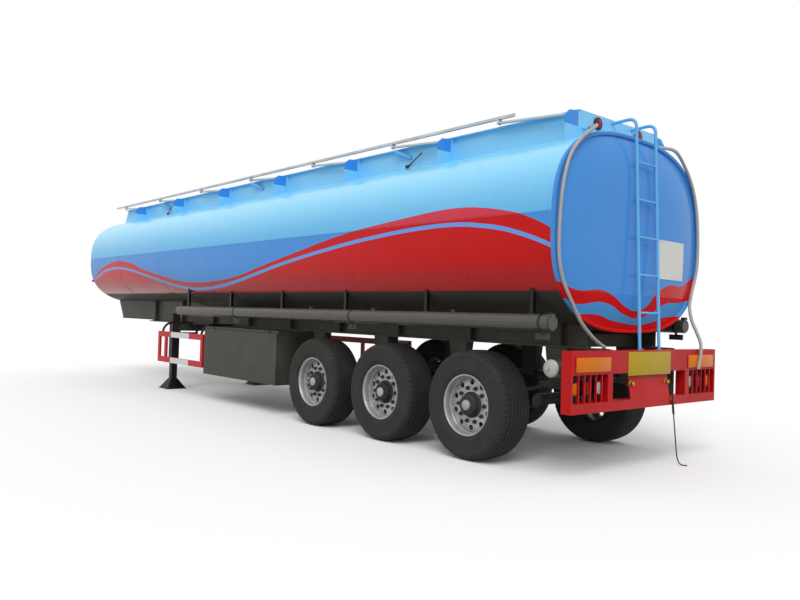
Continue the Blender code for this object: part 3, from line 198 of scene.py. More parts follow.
def livery_enamel():
    """Two-pack enamel sprayed over rolled steel sheet, in masked bands."""
    # Enamel on sheet: deep colour under a clear gloss, and sheet waves about a metre long, a few mm deep.
    # The sheets above the seam keep their gloss, and road film dulls those below it.
    made, tree, place = blank("livery_enamel")
    x, y, z = add(tree, "ShaderNodeSeparateXYZ", {0: place}).outputs
    wave, line = [livery_edge(tree, x, [(run + REAR_AXLE_X, height) for run, height in points])
                  for points in (SIDE_WAVE, SIDE_LINE)]
    head = [livery_edge(tree, y, points) for points in (HEAD_TOP, HEAD_LOW, HEAD_CRESCENT)]
    red = tone("#cf070b")
    # Painted reflection: above the lap seam the blue is painted lighter and the red pinker, as the sky's
    # reflection on the upward-facing sheets, and the blue lighter still towards the top as a painted sheen.
    sky_reflection_share = span(tree, z, SEAM_Z - 0.01, SEAM_Z + 0.02)
    high = span(tree, z, SEAM_Z, TOP_Z - 0.25, interpolation_type="SMOOTHSTEP")
    upper = mix(tree, high, tone("#6cc2f4"), tone("#86d6fa"))
    side = mix(tree, sky_reflection_share, tone("#4d97e4"), upper)
    # Painted shade: below the low lap the red is painted darker, towards the bottom where the flank turns
    # under.
    low = span(tree, z, LOW_LAP_Z + 0.04, LOW_LAP_Z - 0.06, 0.0, 0.8)
    flank_red = mix(tree, low, red, tone("#bd1f21"))
    flank_red = mix(tree, sky_reflection_share, flank_red, tone("#d43c50"))
    side = mix(tree, reckon(tree, "LESS_THAN", z, wave), side, flank_red)
    gap = reckon(tree, "SUBTRACT", z, line)
    side = mix(tree, reckon(tree, "COMPARE", gap, 0.0, LINE_HALF), side, tone("#66a4f0"))
    in_skirt = reckon(tree, "LESS_THAN", z, SKIRT_Z)
    side = mix(tree, in_skirt, side, tone("#45443e"))
    rear = tone("#4793e0")
    for edge, shade in zip(head, (red, tone("#4a96d6"), red)):
        rear = mix(tree, reckon(tree, "LESS_THAN", z, edge), rear, shade)
    on_head = reckon(tree, "LESS_THAN", x, HEAD_ZONE_X)
    paint = mix(tree, on_head, side, rear)
    cloud = noise(tree, place, 1.6, 5.0)
    paint = veil(tree, cloud, 0.45, 0.75, 0.015, paint, "#a9a497")
    streaked = add(tree, "ShaderNodeMapping", {"Vector": place, "Scale": (2.2, 2.2, 0.25)})
    paint = veil(tree, noise(tree, streaked, 5.0, 4.0), 0.52, 0.80, 0.04, paint, "#3a4a58")
    relief = bump(tree, noise(tree, place, 0.9, 1.5), 0.004, 0.20)
    gloss = span(tree, cloud, 0.3, 0.8, 0.18, 0.30)
    uneven = between(tree, in_skirt, gloss, 0.60)
    clean = span(tree, z, SEAM_Z, TOP_Z - 0.35, 0.14, 0.75, interpolation_type="SMOOTHSTEP")
    clean = between(tree, on_head, clean, 0.14)
    sheen = between(tree, in_skirt, clean, 0.06)
    surface(tree, Base_Color=paint, Roughness=uneven, Normal=relief, Specular_IOR_Level=sheen,
            Coat_Weight=0.05, Coat_Roughness=0.08)
    return made


def enamel(name, code, roughness, dust, shade=0.16):
    """Enamel sprayed on a fabricated steel part."""
    # Sprayed enamel: a satin gloss with orange peel, drawn 11 mm wide to show, darker in slow
    # patches about a metre across, and road dust in cloudy patches about 0.3 m across.
    made, tree, place = blank(name)
    cloud = noise(tree, place, 3.2, 6.0)
    slow = noise(tree, place, 1.1, 2.0)
    base = veil(tree, slow, 0.35, 0.70, shade, tone(code), "#0c0c0c")
    paint = veil(tree, cloud, 0.42, 0.78, dust, base, ROAD_DUST)
    uneven = span(tree, cloud, 0.35, 0.8, roughness, roughness + 0.25)
    relief = bump(tree, noise(tree, place, 90.0, 2.0), 0.0006, 0.35)
    surface(tree, Base_Color=paint, Roughness=uneven, Normal=relief, Specular_IOR_Level=0.22)
    return made


def split_enamel(name, near_code, far_code, axis, edge, roughness, above=0.0):
    """Enamel of one colour up to an edge on an axis, and of another past it and over a height."""
    # Two colours that meet on one solid, each with the soft, slightly uneven gloss of brushed paint:
    # two coats on the guard, painted shade on the dam's brackets and the tube's hangers, and a painted
    # reflection on the reservoirs' ends.
    made, tree, place = blank(name)
    cloud = noise(tree, place, 2.2, 5.0)
    parts = add(tree, "ShaderNodeSeparateXYZ", {0: place}).outputs
    across = reckon(tree, "ABSOLUTE", parts[axis])
    past = span(tree, across, edge - EDGE_BLUR, edge + EDGE_BLUR)
    over = reckon(tree, "GREATER_THAN", parts[2], above)
    past = reckon(tree, "MULTIPLY", past, over)
    paint = mix(tree, past, tone(near_code), tone(far_code))
    paint = veil(tree, cloud, 0.45, 0.75, 0.06, paint, ROAD_DUST)
    uneven = span(tree, cloud, 0.35, 0.8, roughness, roughness + 0.18)
    surface(tree, Base_Color=paint, Roughness=uneven, Specular_IOR_Level=0.25)
    return made


def tyre_rubber():
    """Moulded tyre rubber filled with carbon black."""
    # Vulcanised rubber: matt and charcoal, browner where road dust lies, with a fine moulded skin
    # of about 5 mm grain.
    made, tree, place = blank("tyre_rubber")
    grain = noise(tree, place, 190.0, 3.0)
    cloud = noise(tree, place, 5.0, 5.0)
    base = veil(tree, cloud, 0.38, 0.76, 0.55, tone("#232323"), "#3b3631")
    paint = veil(tree, grain, 0.4, 0.8, 0.10, base, "#6b645a")
    relief = bump(tree, grain, 0.0006, 0.5)
    surface(tree, Base_Color=paint, Roughness=0.80, Normal=relief, Specular_IOR_Level=0.35)
    return made


def wheel_silver():
    """Silver lacquer sprayed over a pressed steel wheel."""
    # Metallic lacquer: soft satin sparkle, dulled brown by brake dust in patches 0.1 m across, and
    # near black inboard of the disc as painted shade.
    made, tree, place = blank("wheel_silver_lacquer")
    cloud = noise(tree, place, 9.0, 5.0)
    dust = span(tree, cloud, 0.36, 0.78, 0.05, 0.50)
    paint = mix(tree, dust, tone("#b4b6b8"), tone("#6a6158"))
    # Painted shade: near black inboard of the disc, on the barrel's inner side.
    across = reckon(tree, "ABSOLUTE", add(tree, "ShaderNodeSeparateXYZ", {0: place}).outputs[1])
    inboard_shade = span(tree, across, TRACK_Y - 0.05, TRACK_Y - 0.12, 0.0, 0.92)
    paint = mix(tree, inboard_shade, paint, tone("#1b1a19"))
    uneven = span(tree, cloud, 0.3, 0.8, 0.32, 0.55)
    relief = bump(tree, noise(tree, place, 400.0, 1.0), 0.0002, 0.3)
    surface(tree, Base_Color=paint, Roughness=uneven, Metallic=0.5, Normal=relief)
    return made


def bright_metal(name, code, dull_code, roughness):
    """Drawn or plated bare metal."""
    # Drawn metal: streaks along its length, 30 mm apart, dulled between them.
    made, tree, place = blank(name)
    drawn = add(tree, "ShaderNodeMapping", {"Vector": place, "Scale": (0.15, 1.0, 1.0)})
    streak = noise(tree, drawn, 30.0, 3.0)
    paint = mix(tree, streak, tone(code), tone(dull_code))
    uneven = span(tree, streak, 0.3, 0.7, roughness, roughness + 0.15)
    surface(tree, Base_Color=paint, Roughness=uneven, Metallic=1.0)
    return made


def moulded_rubber(name, code, pale_code, roughness):
    """Extruded or moulded rubber."""
    # Hose and seal rubber: dull, mottled in 40 mm patches, with a fine grain of about 5 mm.
    made, tree, place = blank(name)
    paint = veil(tree, noise(tree, place, 24.0, 4.0), 0.3, 0.8, 0.4, tone(code), pale_code)
    relief = bump(tree, noise(tree, place, 220.0, 2.0), 0.0005, 0.4)
    surface(tree, Base_Color=paint, Roughness=roughness, Normal=relief, Specular_IOR_Level=0.4)
    return made


def prism_lens(name, code, glint_code):
    """A lens or reflector moulded in acrylic."""
    # Acrylic over prism cells drawn 6 mm apart to show: a clear hard skin, the cells in relief, and a
    # painted glint that lightens each cell towards its edge.
    made, tree, place = blank(name)
    cells = add(tree, "ShaderNodeTexVoronoi", {"Vector": place, "Scale": 160.0})
    # Painted glint: the lighter colour in the cells stands in for their sparkle.
    paint = veil(tree, cells, 0.10, 0.60, 0.22, tone(code), glint_code)
    relief = bump(tree, cells, 0.0008, 0.4)
    surface(tree, Base_Color=paint, Roughness=0.22, Normal=relief, Specular_IOR_Level=0.12,
            Coat_Weight=0.05, Coat_Roughness=0.05)
    return made


def sheet_vinyl(name, code, worn_code):
    """Retroreflective vinyl sheet laid on metal."""
    # Bead-filled vinyl: flat colour with a bead grain drawn 3 mm wide to show, and scuffs 0.1 m long.
    made, tree, place = blank(name)
    worn = reckon(tree, "MULTIPLY", noise(tree, place, 320.0, 2.0), noise(tree, place, 11.0, 6.0))
    paint = veil(tree, worn, 0.18, 0.45, 0.20, tone(code), worn_code)
    surface(tree, Base_Color=paint, Roughness=0.42, Specular_IOR_Level=0.3)
    return made


BRACKET_Y = 0.668
BRACKET_Z = 3.205
TUBE_TOP_Z = 1.437
GUARD_FACE_Y = 1.166
RESERVOIR_END_Y = 0.992
PAINT = {
    "livery": livery_enamel(),
    "sky": enamel("sky_blue_enamel", "#66b6ee", 0.26, dust=0.03, shade=0.03),
    # Painted shade: the deep blue on the upper parts of the dam's brackets stands in for the shade on their
    # rear faces.
    "dam": split_enamel("dam_blue_enamel", "#86d0f8", "#3d93e6", 1, BRACKET_Y, 0.26, above=BRACKET_Z),
    "red": enamel("signal_red_enamel", "#bd090f", 0.34, dust=0.015, shade=0.22),
    "chassis": enamel("chassis_grey_enamel", "#3d3c36", 0.42, dust=0.20),
    # Painted shade: the near black above the tube's top sinks the hanger plates into the shade under the
    # tank.
    "tube": split_enamel("tube_grey_enamel", "#55534c", "#0d0d0c", 2, TUBE_TOP_Z, 0.20),
    "guard": split_enamel("guard_red_enamel", "#171717", "#c00a10", 1, GUARD_FACE_Y, 0.34),
    "black": enamel("black_enamel", "#161617", 0.40, dust=0.12),
    "tyre": tyre_rubber(),
    "wheel": wheel_silver(),
    "hub": enamel("hub_grey_enamel", "#252627", 0.45, dust=0.20),
    "nut": bright_metal("dulled_zinc_plate", "#6f7172", "#3f4142", 0.42),
    "rail": bright_metal("bright_rail_steel", "#d6d9db", "#9a9da0", 0.24),
    "brass": bright_metal("brass_lamp_body", "#c9a24a", "#7d6330", 0.35),
    "hose": moulded_rubber("grey_hose_rubber", "#a3a1a1", "#c4c2c0", 0.45),
    "rubber": moulded_rubber("black_rubber", "#121314", "#2c2d2e", 0.55),
    "amber": prism_lens("amber_acrylic", "#d97200", "#ee8e08"),
    "red_lens": prism_lens("red_acrylic", "#8e0c0e", "#d62a2a"),
    "clear_lens": prism_lens("clear_acrylic", "#a9adac", "#e8ebea"),
    "yellow": sheet_vinyl("yellow_vinyl_sheet", "#b79a08", "#937a16"),
    "white": sheet_vinyl("white_vinyl_sheet", "#dcdcda", "#b0aea6"),
    # Painted reflection: the pale colour past the reservoirs' ends is the sky's reflection on their domes.
    "reservoir": split_enamel("reservoir_enamel", "#4a4841", "#bdbeb9", 1, RESERVOIR_END_Y, 0.35),
}


# Making and placing pieces

def piece(name, work, paint, body="trailer", smooth=35):
    """A finished mesh that rides on a body."""
    mesh = bpy.data.meshes.new(name)
    work.normal_update()
    work.to_mesh(mesh)
    work.free()
    made = bpy.data.objects.new(name, mesh)
    bpy.context.scene.collection.objects.link(made)
    mesh.materials.append(PAINT[paint])
    mesh.shade_smooth()
    mesh.set_sharp_from_angle(angle=math.radians(smooth))
    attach(made, body)
    return made


def block(work, low, high):
    """A box between two corners."""
    middle = (Vector(low) + Vector(high)) / 2
    size = Vector(high) - Vector(low)
    place = Matrix.Translation(middle) @ Matrix.Diagonal((*[abs(part) for part in size], 1))
    bmesh.ops.create_cube(work, size=1, matrix=place)


def eased_block(work, low, high, ease):
    """A box between two corners with its edges rounded."""
    block(work, low, high)
    bmesh.ops.bevel(work, geom=work.edges[:], offset=ease, segments=2, profile=0.5, affect="EDGES",
                    material=-1)


def bar(work, start, end, radius, sides, end_radius=None):
    """A round bar between two points."""
    start = Vector(start)
    run = Vector(end) - start
    turn = run.to_track_quat("Z", "Y").to_matrix().to_4x4()
    place = Matrix.Translation(start + run / 2) @ turn
    far = radius if end_radius is None else end_radius
    bmesh.ops.create_cone(work, cap_ends=True, segments=sides, radius1=radius, radius2=far,
                          depth=run.length, matrix=place)


def spun(work, profile, centre, axis, steps):
    """A profile of (along, radius) turned about an axis through a centre."""
    turn = Vector(axis).to_track_quat("Z", "Y").to_matrix().to_4x4()
    place = Matrix.Translation(Vector(centre)) @ turn
    line = [work.verts.new(place @ Vector((radius, 0, along))) for along, radius in profile]
    edges = [work.edges.new(pair) for pair in zip(line, line[1:])]
    bmesh.ops.spin(work, geom=line + edges, cent=Vector(centre), axis=Vector(axis), angle=math.tau,
                   steps=steps, use_merge=True)
    bmesh.ops.remove_doubles(work, verts=work.verts, dist=0.00002)
    bmesh.ops.recalc_face_normals(work, faces=work.faces)


def around(count, radius, offset=0.0):
    """Places spaced evenly on a circle, started at a share of their spacing."""
    angles = [math.tau * (number + offset) / count for number in range(count)]
    return [(radius * math.cos(angle), radius * math.sin(angle)) for angle in angles]


def turned(profile, steps):
    """A new mesh of a profile turned about the Z axis."""
    work = bmesh.new()
    spun(work, profile, (0, 0, 0), UP, steps)
    return work


# Tank

CENTRE_SHARE = 0.06
DISH_STEPS = 14
DISH_POWER = 4.8
RIM_LIP = 0.004
NOSE_STEPS = 16
NOSE_POWER = 2.5


def belly_at(station):
    """The shell's lowest point at a station."""
    share = min(1.0, max(0.0, (station - STEP_START) / (STEP_END - STEP_START)))
    return BELLY_Z + (FRONT_BELLY_Z - BELLY_Z) * share


def section(station, share=1.0, margin=0.0, count=144):
    """The shell's rounded-square section as points."""
    bottom = belly_at(station)
    half = (TOP_Z - bottom) / 2
    points = []
    for index in range(count):
        angle = math.tau * index / count
        across, up = math.cos(angle), math.sin(angle)
        y = math.copysign(abs(across) ** (2 / SECTION_POWER), across)
        z = math.copysign(abs(up) ** (2 / SECTION_POWER), up)
        points.append(Vector((at(station), y * (HALF_WIDTH * share + margin),
                              bottom + half + z * (half * share + margin))))
    return points


def shell_rows():
    """Rows of (station, share, margin) from the tail to the nose."""
    rows = []
    for step in range(DISH_STEPS + 1):
        share = CENTRE_SHARE + (RIM_SHARE - CENTRE_SHARE) * step / DISH_STEPS
        depth = (share / RIM_SHARE) ** DISH_POWER
        rows.append((REAR_RIM + RIM_RECESS - REAR_DISH * (1 - depth), share, 0.0))
    lip = REAR_RIM - RIM_LIP
    band = REAR_RIM + RIM_BAND
    rows += [(REAR_RIM, RIM_SHARE + 0.004, 0.0), (lip, RIM_SHARE + 0.012, 0.0),
             (lip, 1.0, RIM_PROUD - 0.005), (REAR_RIM, 1.0, RIM_PROUD), (band, 1.0, RIM_PROUD),
             (band + 0.002, 1.0, 0.0)]
    nose = LENGTH - FRONT_DISH
    rows += [(station, 1.0, 0.0) for station in (STEP_START, STEP_END, nose)]
    for step in range(1, NOSE_STEPS + 1):
        depth = math.sin(math.pi / 2 * step / (NOSE_STEPS + 0.5))
        rows.append((nose + FRONT_DISH * depth, (1 - depth ** NOSE_POWER) ** (1 / 3), 0.0))
    return rows


def make_shell():
    """The smooth skin of the tank, from its dished rear head to its domed nose."""
    work = bmesh.new()
    rings = []
    for station, share, margin in shell_rows():
        verts = [work.verts.new(point) for point in section(station, share, margin)]
        rings.append([work.edges.new((verts[index], verts[index - 1])) for index in range(len(verts))])
    for near, far in zip(rings, rings[1:]):
        bmesh.ops.bridge_loops(work, edges=near + far)
    for ring in (rings[0], rings[-1]):
        bmesh.ops.contextual_create(work, geom=ring)
    bmesh.ops.recalc_face_normals(work, faces=work.faces)
    skin = piece("tank_skin", work, "livery", smooth=28)
    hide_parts("tank_shell")


make_shell()


# Cords

HOSE_RADIUS = 0.017
STRAP_RADIUS = 0.006
STUB = (at(DAM_REAR) - 0.0603, 0.590, 3.200)
LEFT_HOSE_RUN = ((0.90, 3.030), (1.060, 2.860), (1.145, 2.655), (1.190, 2.404), (1.205, 2.080),
                 (1.180, 1.865), (1.110, 1.700), (0.990, 1.540), (0.855, 1.376), (0.690, 1.250),
                 (0.560, 1.180))
RIGHT_HOSE_RUN = ((0.90, 3.040), (1.060, 2.860), (1.160, 2.640), (1.205, 2.400), (1.215, 2.150),
                  (1.190, 1.930), (1.110, 1.730))
EARTHING_Y = -0.375


def smooth_route(points, steps=6):
    """A Catmull-Rom curve read through the route's own points."""
    knots = [Vector(point) for point in points]
    padded = [knots[0] * 2 - knots[1]] + knots + [knots[-1] * 2 - knots[-2]]
    route = []
    for index in range(1, len(padded) - 2):
        before, here, there, after = padded[index - 1:index + 3]
        for step in range(steps):
            t = step / steps
            route.append(0.5 * ((2 * here) + (there - before) * t
                                + (2 * before - 5 * here + 4 * there - after) * t ** 2
                                + (3 * here - before - 3 * there + after) * t ** 3))
    route.append(knots[-1])
    return route


def make_cord(name, points, radius, paint, node):
    """A hose or strap along its route."""
    route = smooth_route(points)
    line = bpy.data.curves.new(name, "CURVE")
    line.dimensions = "3D"
    line.bevel_depth = radius
    line.bevel_resolution = 3
    line.use_fill_caps = True
    spline = line.splines.new("POLY")
    spline.points.add(len(route) - 1)
    for spot, place in zip(spline.points, route):
        spot.co = (*place, 1)
    made = bpy.data.objects.new(name, line)
    bpy.context.scene.collection.objects.link(made)
    line.materials.append(PAINT[paint])
    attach(made, "trailer")
    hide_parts(node)


def drain_routes():
    """The routes of both drain hoses, from the dam's outlets round the rear rim."""
    x, y, z = STUB
    behind = at(REAR_RIM) - HOSE_RADIUS - 0.004
    over = at(0) - HOSE_RADIUS - 0.002
    routes = []
    for (_, side), run in zip(SIDES, (LEFT_HOSE_RUN, RIGHT_HOSE_RUN)):
        route = [(x - back, side * y, z) for back in (0.0, 0.025, 0.05)]
        route.append((behind - 0.002, side * 0.70, 3.165))
        routes.append(route + [(behind, side * across, up) for across, up in run])
    left, right = routes
    left.append((behind - 0.02, 0.500, BUMPER_TOP_Z + HOSE_RADIUS + 0.001))
    right += [(behind - 0.012, -1.045, 1.570), (at(0.135), -0.990, 1.420), (at(0.060), -0.955, 1.300),
              (at(0.002), -0.925, 1.195), (over, -0.895, 1.090), (over, -0.870, 1.000), (over, -0.850, 0.930)]
    return left, right


def strap_route():
    """The earthing strap's route, over the bumper's bar and down to the ground."""
    y = EARTHING_Y
    bend = at(0.025)
    crest = 0.701
    radius = 0.033
    low = STRAP_RADIUS + 0.0005
    clip = at(0.070) - 0.0003
    points = [(clip, y, crest), (clip - 0.015, y, crest), (clip - 0.030, y, crest)]
    for degrees in (15, 45, 75):
        angle = math.radians(degrees)
        points.append((bend - radius * math.sin(angle), y, crest - radius * (1 - math.cos(angle))))
    run = ((0.000, 0.006, 0.600), (0.003, 0.022, 0.480), (0.006, 0.045, 0.330), (0.010, 0.064, 0.180),
           (0.016, 0.078, 0.080), (0.032, 0.090, 0.026), (0.060, 0.104, low), (0.100, 0.122, low))
    return points + [(bend - radius - back, y - across, z) for back, across, z in run]


left_route, right_route = drain_routes()
make_cord("drain_hose_left_skin", left_route, HOSE_RADIUS, "hose", "drain_hose_left")
make_cord("drain_hose_right_skin", right_route, HOSE_RADIUS, "hose", "drain_hose_right")
make_cord("earthing_strap_skin", strap_route(), STRAP_RADIUS, "rubber", "earthing_strap")


# Wheels

PITCHES = 60
BLOCK_SHARE = 0.80
NOTCH = 0.007
TYRE_OUTER = ((0.152, 0.2865), (0.163, 0.294), (0.166, 0.304), (0.176, 0.318), (0.183, 0.338),
              (0.1865, 0.345), (0.1855, 0.352), (0.1885, 0.380), (0.190, 0.410), (0.190, 0.440),
              (0.1875, 0.470), (0.1895, 0.474), (0.1885, 0.480), (0.182, 0.498), (0.176, 0.510),
              (0.166, 0.519), (0.150, 0.5270), (0.126, 0.5310), (0.124, 0.5190), (0.114, 0.5190),
              (0.112, 0.5325), (0.072, 0.5350), (0.070, 0.5220), (0.060, 0.5220), (0.058, 0.5352),
              (0.030, 0.5358), (0.028, 0.5230), (0.018, 0.5230), (0.016, 0.5360))
SHOULDER = (0.140, 0.186)
SHOULDER_RADIUS = 0.49
RIM_SHAPE = ((0.060, 0.262), (0.072, 0.266), (0.096, 0.268), (0.100, 0.2725), (0.138, 0.2740),
             (0.150, 0.2790), (0.166, 0.2830), (0.1700, 0.2860), (0.1725, 0.2915), (0.1705, 0.2975),
             (0.1650, 0.2995), (0.1590, 0.2960), (0.1560, 0.2865), (-0.156, 0.2865), (-0.159, 0.2960),
             (-0.165, 0.2995), (-0.1705, 0.2975), (-0.1725, 0.2915), (-0.166, 0.2830), (-0.120, 0.2700),
             (0.040, 0.2680), (0.060, 0.262))
DISC_BACK = 0.070
DISC_THICKNESS = 0.012
DISC_OUTER = 0.2635
DISC_INNER = 0.125
HAND_HOLES = 10
HAND_HOLE_RING = 0.222
HAND_HOLE_RADIUS = 0.028
HUB_SHAPE = ((0.060, 0.0), (0.060, 0.128), (0.090, 0.128), (0.096, 0.122), (0.100, 0.112),
             (0.140, 0.104), (0.148, 0.098), (0.152, 0.088), (0.152, 0.0))
CAP_SHAPE = ((0.150, 0.0), (0.150, 0.052), (0.162, 0.052), (0.170, 0.048), (0.174, 0.040), (0.175, 0.0))
DRUM_SHAPE = ((0.062, 0.0), (0.062, 0.12), (0.062, 0.195), (0.050, 0.207), (-0.100, 0.207),
              (-0.104, 0.213), (-0.120, 0.213), (-0.120, 0.195), (-0.095, 0.190), (-0.095, 0.05),
              (-0.100, 0.0))
NUTS = 10
NUT_RING = 0.1675
BOLT_RING = 0.076


def tyre():
    """A wide road tyre with four grooves round it and notched shoulders."""
    profile = list(TYRE_OUTER) + [(-along, radius) for along, radius in reversed(TYRE_OUTER)]
    work = turned(profile + [profile[0]], PITCHES * 4)
    pitch = math.tau / PITCHES
    places = (0.0, BLOCK_SHARE, BLOCK_SHARE + 0.03, 0.97)
    for vert in work.verts:
        angle = math.atan2(vert.co.y, vert.co.x) % math.tau
        ring = round(angle / (pitch / 4))
        target = (ring // 4 + places[ring % 4]) * pitch
        radius = math.hypot(vert.co.x, vert.co.y)
        along = abs(vert.co.z)
        if ring % 4 in (2, 3) and SHOULDER[0] < along < SHOULDER[1] and radius > SHOULDER_RADIUS:
            radius -= NOTCH
        vert.co.x = radius * math.cos(target)
        vert.co.y = radius * math.sin(target)
    return work


def ring_of(work, radius, count, centre=(0, 0)):
    """A circle's edges in the plane of the disc's back."""
    place = Matrix.Translation((*centre, DISC_BACK))
    verts = bmesh.ops.create_circle(work, segments=count, radius=radius, matrix=place)["verts"]
    return list({edge for vert in verts for edge in vert.link_edges})


def wheel_disc():
    """The rim's barrel and lips, and its disc with ten round hand holes."""
    work = turned(RIM_SHAPE, 96)
    web = bmesh.new()
    edges = ring_of(web, DISC_OUTER, 96) + ring_of(web, DISC_INNER, 60)
    for centre in around(HAND_HOLES, HAND_HOLE_RING, 0.5):
        edges += ring_of(web, HAND_HOLE_RADIUS, 24, centre)
    bmesh.ops.triangle_fill(web, edges=edges, use_beauty=True, use_dissolve=False, normal=UP)
    grown = bmesh.ops.extrude_face_region(web, geom=web.faces[:])["geom"]
    for vert in [part for part in grown if isinstance(part, bmesh.types.BMVert)]:
        vert.co.z += DISC_THICKNESS
    for vert in web.verts:
        reach = math.hypot(vert.co.x, vert.co.y)
        vert.co.z -= 0.010 * max(0.0, (reach - 0.20) / 0.065) ** 2
    bmesh.ops.recalc_face_normals(web, faces=web.faces)
    mesh = bpy.data.meshes.new("web")
    web.to_mesh(mesh)
    web.free()
    work.from_mesh(mesh)
    return work


def hub():
    """The dark hub barrel with its flange and bolts."""
    work = turned(HUB_SHAPE, 48)
    for x, y in around(NUTS, BOLT_RING):
        bar(work, (x, y, 0.150), (x, y, 0.160), 0.008, 6)
    return work


def wheel_nuts():
    """Ten nuts on their studs, on a washer each."""
    work = bmesh.new()
    for x, y in around(NUTS, NUT_RING):
        bar(work, (x, y, 0.081), (x, y, 0.085), 0.023, 20)
        bar(work, (x, y, 0.084), (x, y, 0.108), 0.019, 6, 0.0175)
        bar(work, (x, y, 0.107), (x, y, 0.119), 0.011, 12, 0.010)
    return work


def make_wheels():
    """Six wheels, each dressed with its tyre, disc, hub, cap, nuts and drum."""
    kinds = (("tyre", tyre(), "tyre", "tyre_rubber"), ("disc", wheel_disc(), "wheel", "rim_silver"),
             ("hub", hub(), "hub", "rim_silver"),
             ("oil_cap", turned(CAP_SHAPE, 40), "wheel", "rim_silver"),
             ("nuts", wheel_nuts(), "nut", "rim_silver"),
             ("drum", turned(DRUM_SHAPE, 64), "hub", "rim_silver"))
    for number, station in enumerate(AXLE_STATIONS, 1):
        for label, side in SIDES:
            turn = Matrix.Rotation(-side * math.pi / 2, 4, "X")
            place = Matrix.Translation((at(station), side * TRACK_Y, WHEEL_Z)) @ turn
            for kind, source, paint, slot in kinds:
                work = source.copy()
                bmesh.ops.transform(work, matrix=place, verts=work.verts)
                made = piece(f"{kind}_skin_{number}_{label}", work, paint, f"wheel_{number}_{label}", 32)
                if kind == "tyre":
                    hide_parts(f"tyre_{number}_{label}")
                if kind == "disc":
                    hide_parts(f"rim_{number}_{label}")


make_wheels()


# Lamps, reflectors and plates

LAMP_Z = 0.802
LAMP_BAY_Y = 0.710
LAMP_BAY_WIDTH = 0.518
LAMP_YS = tuple(LAMP_BAY_Y + LAMP_BAY_WIDTH * (number + 0.5) / 3 for number in range(3))
LAMP_PAINTS = ("clear_lens", "red_lens", "amber")
LENS_RISE = 0.010
LENS_RADIUS = 0.055
BEZEL_SHAPE = ((0.0, 0.054), (0.006, 0.056), (0.006, 0.063), (-0.020, 0.063), (-0.020, 0.054), (0.0, 0.054))
PLATE_LAMP_SHAPE = ((0.0, 0.0), (0.0, 0.020), (0.036, 0.020), (0.042, 0.015), (0.044, 0.0))
PLATE_LAMP_BASE = ((-0.016, 0.0), (-0.016, 0.032), (0.010, 0.032), (0.014, 0.028), (0.014, 0.0))
WHITE_PLATE_PLACE = (-0.6075, 2.025)
WHITE_PLATE_SIZE = (0.517, 0.390)


def make_rear_lamps():
    """Domed lenses in black bezels behind the barred bays, and the amber reflectors above."""
    dome = [(LENS_RISE * math.cos(angle), LENS_RADIUS * math.sin(angle)) for angle in QUARTER]
    for label, side in SIDES:
        for number, (y, paint) in enumerate(zip(LAMP_YS, LAMP_PAINTS), 1):
            lens = bmesh.new()
            face = (at(0.0448), side * y, LAMP_Z)
            spun(lens, dome + [(-0.002, LENS_RADIUS), (-0.002, 0.0)], face, AFT, 40)
            piece(f"lamp_lens_{label}_{number}", lens, paint)
            bezel = bmesh.new()
            spun(bezel, BEZEL_SHAPE, face, AFT, 40)
            piece(f"lamp_bezel_{label}_{number}", bezel, "rubber")
        work = bmesh.new()
        eased_block(work, (at(0) - 0.003, side * 0.684, 0.949), (at(0) + 0.001, side * 1.192, 1.073), 0.0015)
        piece(f"amber_reflector_{label}", work, "amber")


def make_plate_lamps():
    """Two small brass lamps at the upper corners of the licence panel, each in a round base."""
    for label, side in SIDES:
        work = bmesh.new()
        for shape in (PLATE_LAMP_SHAPE, PLATE_LAMP_BASE):
            spun(work, shape, (at(0.040), side * 0.307, 0.822), AFT, 32)
        piece(f"plate_lamp_{label}", work, "brass")


def make_plates():
    """The bare yellow plate on the bumper and the bare white plate on the rear head."""
    work = bmesh.new()
    eased_block(work, (at(0.0015), -0.34, 0.898), (at(0.0045), 0.40, 1.115), 0.001)
    piece("yellow_plate", work, "yellow")
    work = bmesh.new()
    bmesh.ops.create_grid(work, x_segments=16, y_segments=12, size=0.5)
    for vert in work.verts:
        y, z = (middle + part * size for middle, part, size
                in zip(WHITE_PLATE_PLACE, vert.co, WHITE_PLATE_SIZE))
        vert.co = (head_x(y, z) - 0.003, y, z)
    bmesh.ops.solidify(work, geom=work.faces[:], thickness=0.002)
    bmesh.ops.recalc_face_normals(work, faces=work.faces)
    piece("white_plate", work, "white")


def head_x(y, z):
    """The x of the rear head's face at a place on it."""
    half = (TOP_Z - BELLY_Z) / 2
    across = abs(y / HALF_WIDTH) ** SECTION_POWER + abs((z - BELLY_Z - half) / half) ** SECTION_POWER
    share = across ** (1 / SECTION_POWER)
    return at(REAR_RIM + RIM_RECESS - REAR_DISH * (1 - (share / RIM_SHARE) ** DISH_POWER))


make_rear_lamps()
make_plate_lamps()
make_plates()


# Roof: manholes, covers, seams and lamps

COLLAR_TOP = 3.221
HINGE_BACK = 0.310
HINGE_Z = 3.232
COLLAR_SHAPE = ((-0.12, 0.0), (-0.12, 0.248), (0.030, 0.248), (0.031, 0.262), (0.0445, 0.262), (0.0445, 0.0))
COVER_SHAPE = ((0.0005, 0.0), (0.0005, 0.272), (0.004, 0.2755), (0.018, 0.2755), (0.022, 0.272),
               (0.022, 0.262), (0.015, 0.254), (0.016, 0.215), (0.024, 0.170), (0.032, 0.110), (0.035, 0.0))
HATCH_SHAPE = ((0.020, 0.0), (0.020, 0.105), (0.046, 0.105), (0.052, 0.100), (0.054, 0.030),
               (0.060, 0.026), (0.060, 0.0))
HATCH_AHEAD = 0.05
HANDLE_BACK = 0.05
CLAMPS = 6
CLAMP_RING = 0.240


